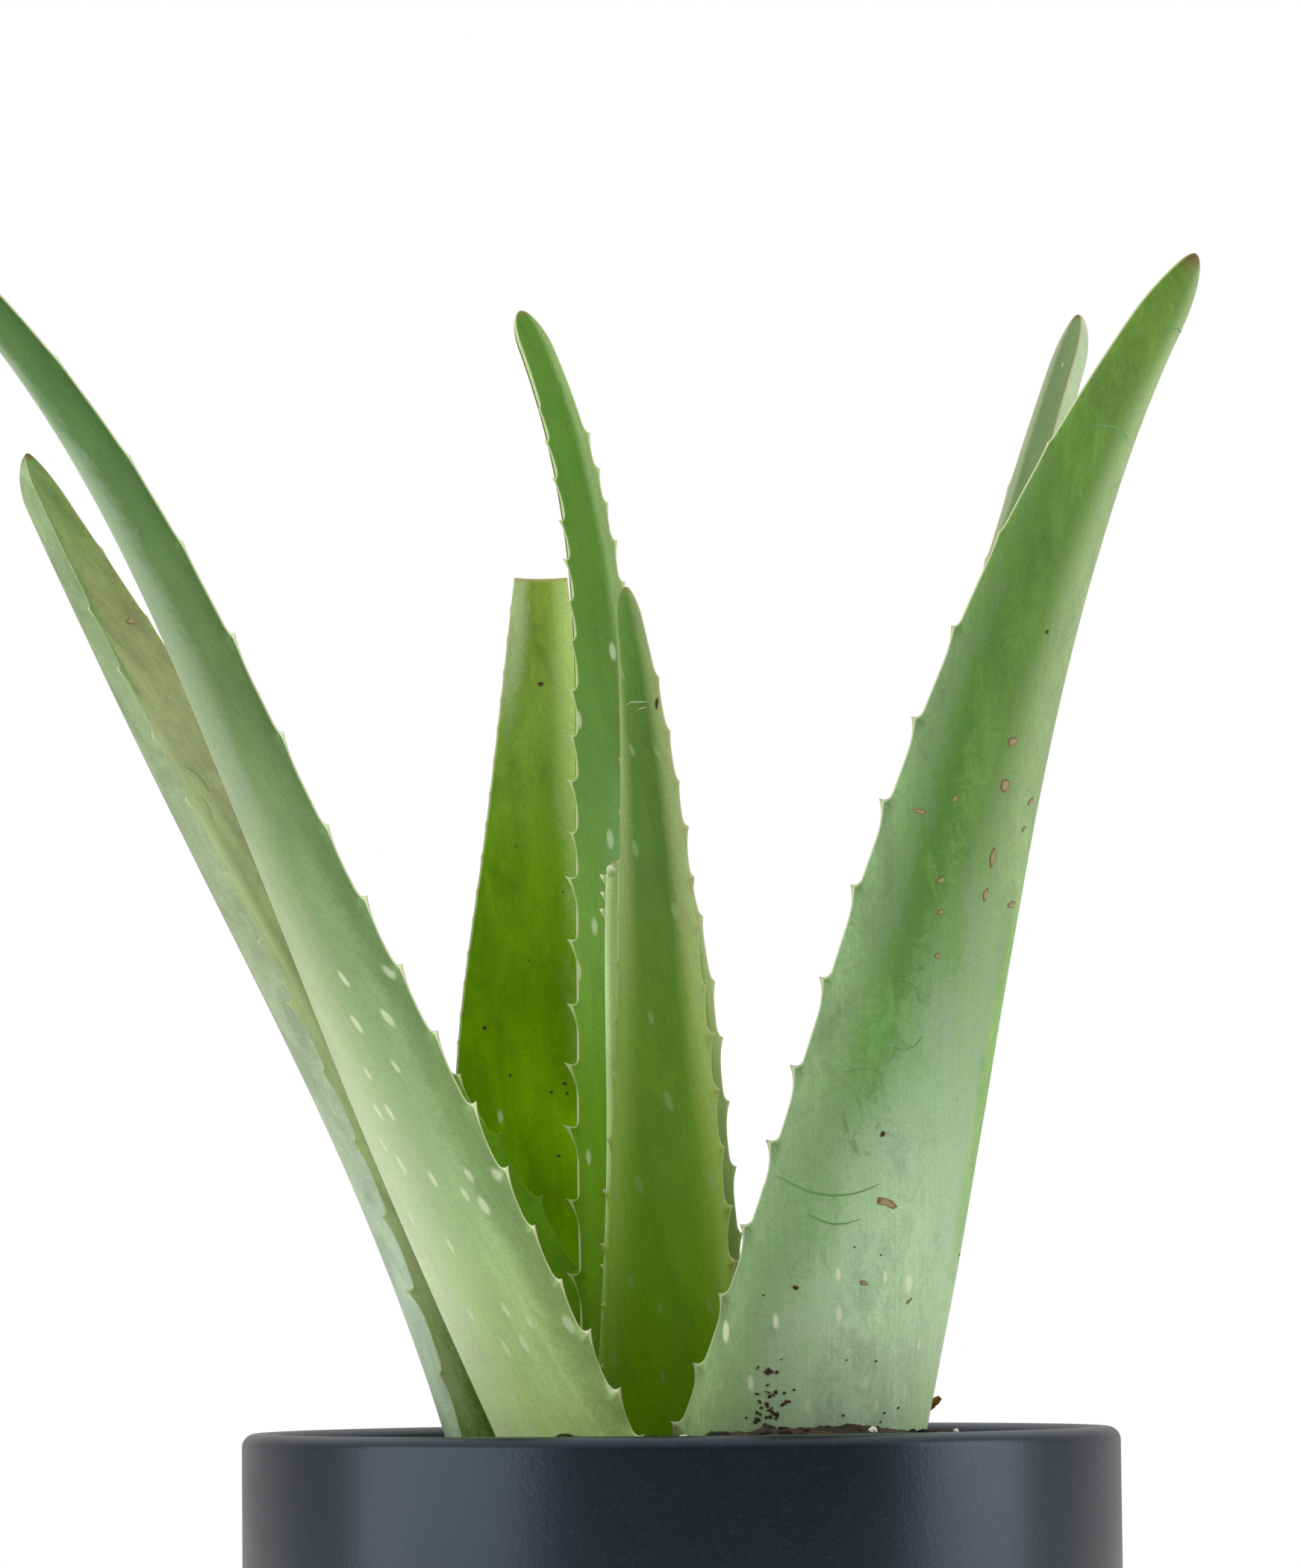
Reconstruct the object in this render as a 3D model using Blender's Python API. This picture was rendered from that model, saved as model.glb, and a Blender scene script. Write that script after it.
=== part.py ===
"""Potted aloe: a young rosette of toothed leaves on a short stem, in soil, in a plain cylinder pot.

Everything is in millimetres here and is scaled to metres when the meshes are written.
The origin is the centre of the pot's underside, +Z is up and -Y is the plant's front.
"""

import math
from dataclasses import dataclass

import bmesh
import bpy
import numpy as np

MM = 0.001

# Pot
POT_DIAMETER = 140.0
POT_HEIGHT = 125.0
POT_WALL = 5.0
POT_FLOOR = 6.0
RIM_RADIUS = 2.2
FOOT_RADIUS = 1.5
POT_INNER_FILLET = 4.0
TURN_STEPS = 64

# Soil and stem
FIT_GAP = 0.3
SOIL_DROP = 3.0
STEM_DIAMETER = 36.0
STEM_DEPTH = 16.0
STEM_FOOT_DIAMETER = 18.0
STEM_STEPS = 32

# Leaf margins
TOOTH_HALF_BASE = 1.7
FIRST_TOOTH = 4.0
TOOTHED_SHARE = 0.88
FOOT_BLEND = 30.0
SPINE_STEPS = 240

POT_RADIUS = POT_DIAMETER / 2
POT_BORE = POT_RADIUS - POT_WALL
SOIL_TOP = POT_HEIGHT - SOIL_DROP
SEAT_HEIGHT = SOIL_TOP + FIT_GAP


@dataclass(frozen=True)
class Leaf:
    """One leaf: where it leaves the stem, how it bends, and its section along its length.

    bearing and clear place its foot: a heart leaf stands on the stem's top, clear of its axis,
    and any other stands clear of what it wraps, the stem and heart together or one leaf.
    lean is the angle from upright, heading the compass angle it leans to (0 = +X, 90 = +Y),
    roll its twist about its own spine. width, belly (outer bulge) and channel (inner hollow)
    are read at evenly spaced stations from foot to tip.
    """

    name: str
    bearing: float
    clear: float
    length: float
    lean: tuple
    heading: tuple
    roll: tuple
    width: tuple
    belly: tuple
    channel: tuple
    tip: float
    tooth_pitch: float
    tooth: float
    colour: tuple
    wraps: str = ""


HEART = "heart"
LEAVES = (
    Leaf("leaf_centre_front", bearing=256, clear=6.2, length=137, lean=(1, 3, 6, 14),
         heading=(-99, -113, -128), roll=(0, 2), width=(22.5, 19.5, 15, 10.5, 3.5),
         belly=(6.5, 2.2), channel=(1.2, 0.3), tip=5, tooth_pitch=10, tooth=1.1,
         colour=(0.12, 0.26, 0.06)),
    Leaf("leaf_young", bearing=177.5, clear=11.5, length=94, lean=(-4, -2.6, 0.6, -2),
         heading=(180, 180, 180), roll=(0, 0), width=(6, 5.5, 5, 4, 3),
         belly=(2.5, 2.2), channel=(0.3, 0.1), tip=3, tooth_pitch=7, tooth=0.5,
         colour=(0.28, 0.45, 0.15)),
    Leaf("leaf_centre_tall", bearing=135, clear=9.2, length=190, lean=(4, 4, 6, 28),
         heading=(112, 127, 144), roll=(1, -6), width=(20, 18.5, 15, 10, 7.5),
         belly=(6, 2.3), channel=(1.5, 0.3), tip=7, tooth_pitch=9.5, tooth=1.2,
         colour=(0.12, 0.29, 0.08)),
    Leaf("leaf_centre_back", bearing=77.7, clear=16.4, length=101, lean=(-4, 3, 10, 19),
         heading=(53, 88, 122), roll=(-3, 0), width=(12, 14, 9, 5.5, 1.5),
         belly=(5, 1.8), channel=(1, 0.2), tip=5, tooth_pitch=9, tooth=0.9,
         colour=(0.10, 0.24, 0.03)),
    Leaf("leaf_front_left", bearing=225, clear=1.2, length=220, lean=(28, 26, 27, 47),
         heading=(-154, -159, -168), roll=(4, 11), width=(39, 34, 23, 17, 8.5),
         belly=(8, 2.5), channel=(2.5, 0.5), tip=12, tooth_pitch=12, tooth=1.4,
         colour=(0.34, 0.50, 0.27), wraps=HEART),
    Leaf("leaf_front_right", bearing=320, clear=2.0, length=202, lean=(27, 23, 28, 42),
         heading=(-55, -53, -41), roll=(-3, 3), width=(45.5, 37.5, 29.5, 21, 9),
         belly=(12, 3), channel=(3, 0.5), tip=12, tooth_pitch=14, tooth=1.2,
         colour=(0.27, 0.45, 0.24), wraps=HEART),
    Leaf("leaf_back_left", bearing=150.5, clear=-0.1, length=203, lean=(28, 34, 34, 34),
         heading=(135, 150, 147), roll=(-12, -6), width=(38, 31, 23.5, 16, 5),
         belly=(17, 5), channel=(4, 0.5), tip=9, tooth_pitch=12, tooth=1.1,
         colour=(0.28, 0.36, 0.20), wraps=HEART),
    Leaf("leaf_back_right", bearing=39.8, clear=2.0, length=196, lean=(17, 16, 16, 21),
         heading=(33, 27, 24), roll=(-1, 0), width=(35, 28, 20.5, 13.5, 8.5),
         belly=(11.5, 3.5), channel=(3, 0.5), tip=9, tooth_pitch=12, tooth=1.1,
         colour=(0.24, 0.38, 0.19), wraps=HEART),
    Leaf("leaf_cut", bearing=118, clear=1.3, length=152, lean=(17, 14, 13, 14),
         heading=(106, 95, 89), roll=(-1, 1), width=(40.5, 35, 28, 17.5, 9),
         belly=(9, 4), channel=(2.5, 0.6), tip=0, tooth_pitch=11, tooth=0.6,
         colour=(0.09, 0.24, 0.02), wraps="leaf_back_left"),
)
LEAF_NAMED = {leaf.name: leaf for leaf in LEAVES}


def smooth(values, t):
    """Value at t (0 to 1) of a smooth curve through evenly spaced station values."""
    stations = np.asarray(values, float)
    if len(stations) == 2:
        return stations[0] + (stations[1] - stations[0]) * t
    last = len(stations) - 1
    place = np.clip(t, 0, 1) * last
    i = np.minimum(place.astype(int), last - 1)
    f = place - i
    p1 = stations[i]
    p2 = stations[i + 1]
    p0 = np.where(i > 0, stations[np.maximum(i - 1, 0)], 2 * p1 - p2)
    p3 = np.where(i + 2 <= last, stations[np.minimum(i + 2, last)], 2 * p2 - p1)
    bend = 2 * p0 - 5 * p1 + 4 * p2 - p3
    twist = 3 * p1 - p0 - 3 * p2 + p3
    return 0.5 * (2 * p1 + (p2 - p0) * f + bend * f ** 2 + twist * f ** 3)


def reach(leaf):
    """Distance from the stem's axis to the outside of a leaf's foot."""
    return stand_off(leaf) + leaf.belly[0]


def stand_off(leaf):
    """Distance of a leaf's foot from the stem's axis, outside what it wraps."""
    if not leaf.wraps:
        return leaf.clear
    if leaf.wraps == HEART:
        heart = max(reach(inner) for inner in LEAVES if not inner.wraps)
        return max(STEM_DIAMETER / 2, heart) + leaf.clear
    return reach(LEAF_NAMED[leaf.wraps]) + leaf.clear


def spine(leaf, t):
    """Spine points, tangents, width directions and inner-face normals at the shares t."""
    fine = np.linspace(0, 1, SPINE_STEPS + 1)

    def tangents(u):
        lean = np.radians(smooth(leaf.lean, u))
        heading = np.radians(smooth(leaf.heading, u))
        flat = np.sin(lean)
        return np.stack([flat * np.cos(heading), flat * np.sin(heading), np.cos(lean)], 1)

    step = tangents((fine[1:] + fine[:-1]) / 2) * (leaf.length / SPINE_STEPS)
    path = np.vstack([np.zeros(3), np.cumsum(step, 0)])
    bearing = math.radians(leaf.bearing)
    distance = stand_off(leaf)
    seat = np.array([distance * math.cos(bearing), distance * math.sin(bearing), SEAT_HEIGHT])
    points = np.stack([np.interp(t, fine, path[:, axis]) for axis in range(3)], 1) + seat
    along = tangents(t)
    heading = np.radians(smooth(leaf.heading, t))
    across = np.stack([-np.sin(heading), np.cos(heading), np.zeros_like(heading)], 1)
    inner = np.cross(along, across)
    roll = np.radians(smooth(leaf.roll, t))[:, None]
    turned_across = across * np.cos(roll) + inner * np.sin(roll)
    turned_inner = inner * np.cos(roll) - across * np.sin(roll)
    return points, along, turned_across, turned_inner


def ring_shares(leaf):
    """Shares of the length that carry a ring of points, and the tooth height at each."""
    shares = [0.0]
    teeth = [0.0]
    place = FIRST_TOOTH
    while place < leaf.length * TOOTHED_SHARE:
        for offset, height in ((-TOOTH_HALF_BASE, 0.0), (0.0, leaf.tooth), (TOOTH_HALF_BASE, 0.0)):
            shares.append((place + offset) / leaf.length)
            teeth.append(height)
        place += leaf.tooth_pitch
    end_shares = (0.93, 0.96, 1.0) if not leaf.tip else ()
    if leaf.tip:
        tip_share = leaf.tip / leaf.length
        end_shares = tuple(1 - tip_share * part for part in (1.0, 0.6, 0.3, 0.1))
    for share in end_shares:
        if share > shares[-1] + 0.004:
            shares.append(share)
            teeth.append(0.0)
    return np.array(shares), np.array(teeth)


def leaf_rings(leaf):
    """Rings of points around the leaf: margin, inner face, margin, outer belly."""
    t, teeth = ring_shares(leaf)
    points, along, across, inner = spine(leaf, t)
    closing = np.ones_like(t)
    if leaf.tip:
        tip_share = leaf.tip / leaf.length
        into_tip = np.clip((t - (1 - tip_share)) / tip_share, 0, 1)
        closing = np.sqrt(1 - into_tip ** 2)
    half = smooth(leaf.width, t) / 2 * closing
    belly = smooth(leaf.belly, t) * closing
    channel = smooth(leaf.channel, t) * closing
    columns = []
    for u in (-1.0, -0.5, 0.0, 0.5, 1.0):
        reach = half * u + (math.copysign(1.0, u) * teeth if abs(u) == 1.0 else 0.0)
        columns.append(points + across * reach[:, None] - inner * (channel * (1 - u * u))[:, None])
    for angle in (30, 60, 90, 120, 150):
        reach = half * math.cos(math.radians(angle))
        depth = belly * math.sin(math.radians(angle))
        columns.append(points + across * reach[:, None] - inner * depth[:, None])
    rings = np.stack(columns, 1)
    # The foot is cut level: each column slides along the spine, less and less above the foot.
    slide = (SEAT_HEIGHT - rings[0, :, 2]) / along[0, 2]
    fade = np.clip(1 - t * leaf.length / FOOT_BLEND, 0, 1) ** 2
    rings += along[:, None] * slide[None, :, None] * fade[:, None, None]
    rings[0, :, 2] = SEAT_HEIGHT
    end = points[-1] + along[-1] * 0.1 * leaf.tip if leaf.tip else None
    return rings, end


def make_object(name, mesh_builder, colour, roughness):
    """Object with its own material, from a function that fills a bmesh in millimetres."""
    builder = bmesh.new()
    mesh_builder(builder)
    bmesh.ops.scale(builder, vec=(MM, MM, MM), verts=builder.verts)
    bmesh.ops.recalc_face_normals(builder, faces=builder.faces)
    mesh = bpy.data.meshes.new(name)
    builder.to_mesh(mesh)
    builder.free()
    mesh.shade_smooth()
    mesh.set_sharp_from_angle(angle=math.radians(40))
    material = bpy.data.materials.new(name)
    material.use_nodes = True
    shader = material.node_tree.nodes["Principled BSDF"]
    shader.inputs["Base Color"].default_value = (*colour, 1.0)
    shader.inputs["Roughness"].default_value = roughness
    shader.inputs["Metallic"].default_value = 0.0
    mesh.materials.append(material)
    item = bpy.data.objects.new(name, mesh)
    bpy.context.scene.collection.objects.link(item)
    return item


def loft_leaf(builder, leaf):
    """Leaf skin between its rings, with a level foot and a point or a cut end."""
    rings, end = leaf_rings(leaf)
    rows = [[builder.verts.new(point) for point in ring] for ring in rings]
    around = len(rows[0])
    for lower, upper in zip(rows, rows[1:]):
        for k in range(around):
            after = (k + 1) % around
            builder.faces.new((lower[k], lower[after], upper[after], upper[k]))
    builder.faces.new(rows[0])
    if end is None:
        builder.faces.new(rows[-1])
        return
    point = builder.verts.new(end)
    for k in range(around):
        builder.faces.new((rows[-1][k], rows[-1][(k + 1) % around], point))


def arc(centre_r, centre_z, radius, start, stop, steps):
    """Points of a profile's rounded corner, as (radius, height) pairs."""
    angles = [math.radians(start + (stop - start) * i / steps) for i in range(steps + 1)]
    return [(centre_r + radius * math.cos(a), centre_z + radius * math.sin(a)) for a in angles]


def turn(builder, profile, steps):
    """Solid of revolution from a profile whose two ends lie on the axis."""
    low = builder.verts.new((0, 0, profile[0][1]))
    high = builder.verts.new((0, 0, profile[-1][1]))
    rows = []
    for radius, height in profile[1:-1]:
        angles = [2 * math.pi * i / steps for i in range(steps)]
        row = [(radius * math.cos(a), radius * math.sin(a), height) for a in angles]
        rows.append([builder.verts.new(point) for point in row])
    for row, pole in ((rows[0], low), (rows[-1], high)):
        for i in range(steps):
            builder.faces.new((row[i], row[(i + 1) % steps], pole))
    for lower, upper in zip(rows, rows[1:]):
        for i in range(steps):
            after = (i + 1) % steps
            builder.faces.new((lower[i], lower[after], upper[after], upper[i]))


def pot_profile():
    """Pot wall from the underside's centre, up the outside, over the rim and down the bore."""
    rim = min(RIM_RADIUS, POT_WALL / 2)
    profile = [(0, 0)]
    profile += arc(POT_RADIUS - FOOT_RADIUS, FOOT_RADIUS, FOOT_RADIUS, -90, 0, 3)
    profile += arc(POT_RADIUS - rim, POT_HEIGHT - rim, rim, 0, 90, 4)
    profile += arc(POT_BORE + rim, POT_HEIGHT - rim, rim, 90, 180, 4)[0 if rim < POT_WALL / 2 else 1:]
    fillet_centre = POT_FLOOR + POT_INNER_FILLET
    profile += arc(POT_BORE - POT_INNER_FILLET, fillet_centre, POT_INNER_FILLET, 0, -90, 3)
    return profile + [(0, POT_FLOOR)]


def soil_profile():
    """Soil that fills the bore to below the rim, with a pocket for the stem's root end."""
    radius = POT_BORE - FIT_GAP
    bottom = POT_FLOOR + FIT_GAP
    pocket = STEM_DIAMETER / 2 + FIT_GAP
    pocket_foot = min(STEM_FOOT_DIAMETER, STEM_DIAMETER) / 2 + FIT_GAP
    pocket_floor = SOIL_TOP - STEM_DEPTH - FIT_GAP
    profile = [(0, bottom)]
    profile += arc(radius - POT_INNER_FILLET, bottom + POT_INNER_FILLET, POT_INNER_FILLET, -90, 0, 3)
    profile += [(radius, SOIL_TOP), (pocket, SOIL_TOP), (pocket_foot, pocket_floor), (0, pocket_floor)]
    return profile


def stem_profile():
    """Short stem: a tapered root end in its pocket, and a level top that the leaves stand on."""
    foot = SOIL_TOP - STEM_DEPTH
    root = min(STEM_FOOT_DIAMETER, STEM_DIAMETER) / 2
    return [(0, foot), (root, foot), (STEM_DIAMETER / 2, SOIL_TOP), (0, SOIL_TOP)]


def clear_scene():
    """Remove everything the file opened with."""
    for item in list(bpy.data.objects):
        bpy.data.objects.remove(item, do_unlink=True)


def build():
    """Make every piece of the potted aloe."""
    clear_scene()
    make_object("pot", lambda b: turn(b, pot_profile(), TURN_STEPS), (0.045, 0.050, 0.062), 0.45)
    make_object("soil", lambda b: turn(b, soil_profile(), TURN_STEPS), (0.035, 0.022, 0.014), 0.95)
    make_object("stem", lambda b: turn(b, stem_profile(), STEM_STEPS), (0.22, 0.30, 0.10), 0.6)
    for leaf in LEAVES:
        make_object(leaf.name, lambda b, leaf=leaf: loft_leaf(b, leaf), leaf.colour, 0.5)


build()
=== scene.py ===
"""Potted aloe: the finished surfaces of a young aloe in a dark cylinder pot.

The CAD frame gives the sizes and places. Every piece here rides on its one body and
replaces the plain solid of the same name. Lengths in the classes are millimetres.
"""

from __future__ import annotations

import logging
import math
import random
from dataclasses import dataclass
from enum import Enum

import bmesh
import bpy
import numpy as np
from mathutils import Matrix, Vector, noise


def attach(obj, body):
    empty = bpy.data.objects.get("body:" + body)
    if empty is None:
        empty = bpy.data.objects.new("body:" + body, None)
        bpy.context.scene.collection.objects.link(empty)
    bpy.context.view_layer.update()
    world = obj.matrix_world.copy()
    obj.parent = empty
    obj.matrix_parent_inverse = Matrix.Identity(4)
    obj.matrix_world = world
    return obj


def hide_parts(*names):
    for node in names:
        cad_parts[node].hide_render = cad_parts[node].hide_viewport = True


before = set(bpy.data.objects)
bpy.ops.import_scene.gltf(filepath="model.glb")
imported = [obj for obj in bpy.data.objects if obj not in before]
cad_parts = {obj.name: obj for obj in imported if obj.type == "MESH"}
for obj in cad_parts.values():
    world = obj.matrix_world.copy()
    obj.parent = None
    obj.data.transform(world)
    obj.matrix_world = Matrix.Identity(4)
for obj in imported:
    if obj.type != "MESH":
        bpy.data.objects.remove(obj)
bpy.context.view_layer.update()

MM = 0.001
BODY = "root"
LOG = logging.getLogger("potted_aloe")

Socket = bpy.types.NodeSocket
Colour = tuple[float, float, float, float]


def linear(hex_colour: str) -> Colour:
    """Turn an sRGB hex colour into the linear colour that shaders take.

    Args:
        hex_colour: six hex digits with a leading #.

    Returns:
        Linear red, green, blue and an alpha of one.
    """
    parts = [int(hex_colour[i:i + 2], 16) / 255 for i in (1, 3, 5)]
    straight = [c / 12.92 if c <= 0.04045 else ((c + 0.055) / 1.055) ** 2.4 for c in parts]
    return (straight[0], straight[1], straight[2], 1.0)


def smooth(values: tuple[float, ...], t: np.ndarray) -> np.ndarray:
    """Read a smooth curve through evenly spaced station values.

    Args:
        values: value at each station, first to last.
        t: places to read it, from 0 at the first station to 1 at the last.

    Returns:
        The curve's value at each place.
    """
    stations = np.asarray(values, float)
    if len(stations) == 2:
        return stations[0] + (stations[1] - stations[0]) * np.clip(t, 0, 1)
    last = len(stations) - 1
    place = np.clip(t, 0, 1) * last
    i = np.minimum(place.astype(int), last - 1)
    f = place - i
    p1, p2 = stations[i], stations[i + 1]
    p0 = np.where(i > 0, stations[np.maximum(i - 1, 0)], 2 * p1 - p2)
    p3 = np.where(i + 2 <= last, stations[np.minimum(i + 2, last)], 2 * p2 - p1)
    bend = 2 * p0 - 5 * p1 + 4 * p2 - p3
    twist = 3 * p1 - p0 - 3 * p2 + p3
    return 0.5 * (2 * p1 + (p2 - p0) * f + bend * f ** 2 + twist * f ** 3)


class Paint:
    """A material under construction: adds nodes to its tree and sets its surface's inputs."""

    def __init__(self, name: str) -> None:
        """Start a new material.

        Args:
            name: what the real material is.
        """
        self.material = bpy.data.materials.new(name)
        self.material.use_nodes = True
        self.tree = self.material.node_tree
        self.shader = self.tree.nodes["Principled BSDF"]

    def add(self, kind: str, settings: dict[str, object],
            inputs: dict[str | int, object]) -> bpy.types.Node:
        """Add a node, set it up, and link or set its inputs.

        Args:
            kind: Blender's type name of the node.
            settings: the node's own properties by name.
            inputs: for each input, a socket to link or a value to set.

        Returns:
            The new node.
        """
        node = self.tree.nodes.new(kind)
        for name, value in settings.items():
            setattr(node, name, value)
        for name, value in inputs.items():
            if isinstance(value, Socket):
                self.tree.links.new(value, node.inputs[name])
            else:
                node.inputs[name].default_value = value
        return node

    def place(self) -> Socket:
        """Positions on the piece, in metres."""
        return self.add("ShaderNodeTexCoord", {}, {}).outputs["Object"]

    def math(self, operation: str, first: object, second: object, third: object = 0.0) -> Socket:
        """Combine numbers with one of the Math node's operations."""
        return self.add("ShaderNodeMath", {"operation": operation},
                        {0: first, 1: second, 2: third}).outputs[0]

    def step(self, source: Socket, low: float, high: float, top: object = 1.0) -> Socket:
        """Smooth mask that rises from 0 at low to top at high."""
        return self.add("ShaderNodeMapRange", {"interpolation_type": "SMOOTHSTEP"},
                        {"Value": source, "From Min": low, "From Max": high, "To Max": top}
                        ).outputs[0]

    def span(self, source: Socket, low: float, high: float) -> Socket:
        """Stretch a noise's usual range to run from low to high."""
        return self.add("ShaderNodeMapRange", {},
                        {"Value": source, "From Min": 0.3, "From Max": 0.7,
                         "To Min": low, "To Max": high}).outputs[0]

    def mix(self, mask: object, under: object, over: object) -> Socket:
        """Lay one colour over another where the mask is white."""
        colours = [linear(c) if isinstance(c, str) else c for c in (under, over)]
        return self.add("ShaderNodeMix", {"data_type": "RGBA"},
                        {0: mask, 6: colours[0], 7: colours[1]}).outputs[2]

    def ramp(self, source: Socket, colours: tuple[str, ...]) -> Socket:
        """Run through evenly spaced colours as the source goes from 0 to 1."""
        node = self.add("ShaderNodeValToRGB", {}, {0: source})
        stops = node.color_ramp.elements
        while len(stops) < len(colours):
            stops.new(0.5)
        for number, colour in enumerate(colours):
            stops[number].position = number / max(1, len(colours) - 1)
            stops[number].color = linear(colour)
        return node.outputs["Color"]

    def noise(self, place: Socket, size: float | tuple[float, float, float],
              detail: float = 2.0, distortion: float = 0.0) -> Socket:
        """Cloudy noise.

        Args:
            place: positions to read it at.
            size: length of one wave, or one length for each axis, in the positions' units.
            detail: how many finer layers it has.
            distortion: how far it is swirled.

        Returns:
            The noise, mostly between 0.3 and 0.7.
        """
        lengths = size if isinstance(size, tuple) else (size, size, size)
        scaled = self.add("ShaderNodeVectorMath", {"operation": "MULTIPLY"},
                          {0: place, 1: tuple(1 / length for length in lengths)}).outputs[0]
        return self.add("ShaderNodeTexNoise", {},
                        {"Vector": scaled, "Scale": 1.0, "Detail": detail, "Roughness": 0.6,
                         "Distortion": distortion}).outputs["Fac"]

    def bump(self, height: Socket, depth_mm: float, under: Socket | None = None) -> Socket:
        """Fine relief of a given depth, on top of other relief if any is given."""
        inputs: dict[str | int, object] = {"Strength": 1.0, "Distance": depth_mm * MM,
                                           "Height": height}
        if under is not None:
            inputs["Normal"] = under
        return self.add("ShaderNodeBump", {}, inputs).outputs[0]

    def finish(self, colour: object, roughness: object, normal: Socket | None = None,
               **settings: object) -> bpy.types.Material:
        """Set the surface's inputs.

        Args:
            colour: socket or hex colour.
            roughness: socket or number.
            normal: relief, if any.
            settings: other inputs by name, with _ for a space.

        Returns:
            The finished material.
        """
        for name, value in (("Base Color", colour), ("Roughness", roughness), ("Normal", normal)):
            if isinstance(value, Socket):
                self.tree.links.new(value, self.shader.inputs[name])
            elif value is not None:
                value = linear(value) if isinstance(value, str) else value
                self.shader.inputs[name].default_value = value
        for name, value in settings.items():
            self.shader.inputs[name.replace("_", " ")].default_value = value
        return self.material


@dataclass
class Shape:
    """Corners, faces and corner values of a piece while it is being built."""

    points: np.ndarray
    faces: list[list[int]]
    values: dict[str, np.ndarray]

    def make(self, name: str, material: bpy.types.Material,
             node: str | None = None) -> bpy.types.Object:
        """Make one visible piece of the object and hang it on the frame.

        Args:
            name: the piece's name.
            material: the finish.
            node: CAD node that this piece stands for, if any.

        Returns:
            The new object.
        """
        mesh = bpy.data.meshes.new(name)
        mesh.from_pydata((np.asarray(self.points) * MM).tolist(), [], self.faces)
        for key, numbers in self.values.items():
            flat = np.asarray(numbers, np.float32)
            kind, part = ("FLOAT_VECTOR", "vector") if flat.ndim == 2 else ("FLOAT", "value")
            mesh.attributes.new(key, kind, "POINT").data.foreach_set(part, flat.ravel())
        mesh.shade_smooth()
        mesh.materials.append(material)
        piece = bpy.data.objects.new(name, mesh)
        bpy.context.scene.collection.objects.link(piece)
        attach(piece, BODY)
        if node:
            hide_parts(node)
        LOG.info("%s: %d faces", name, len(mesh.polygons))
        return piece


def join_rings(rows: int, around: int, first: int = 0) -> list[list[int]]:
    """Faces between rings of corners that follow one another.

    Args:
        rows: number of rings.
        around: corners in a ring.
        first: number of the first corner.

    Returns:
        The quads.
    """
    index = first + np.arange(rows * around).reshape(rows, around)
    after = np.roll(index, -1, axis=1)
    return np.stack([index[:-1], after[:-1], after[1:], index[1:]], 2).reshape(-1, 4).tolist()


class Slot(Enum):
    """Material slots, one carried by each leaf."""

    POT = "pot"
    SOIL = "soil"
    STEM = "stem"
    PALE = "leaf_pale"
    MID = "leaf_mid"
    DEEP = "leaf_deep"


@dataclass(frozen=True)
class Wash:
    """A soft-edged patch of another colour: thick bloom, rubbed skin and stains, and also painted light and
    shade:
    painted sheen and highlights where the soft boxes shine on the wax, painted shade on strips turned from
    them.

    colours run from the leaf's foot to its tip. across is -1 and 1 at the margins, share is 0
    at the foot and 1 at the tip; wide and tall are the patch's half sizes in the same measure.
    """

    colours: tuple[str, ...]
    across: float
    share: float
    wide: float
    tall: float
    strength: float = 1.0
    ragged: float = 0.6


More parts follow.
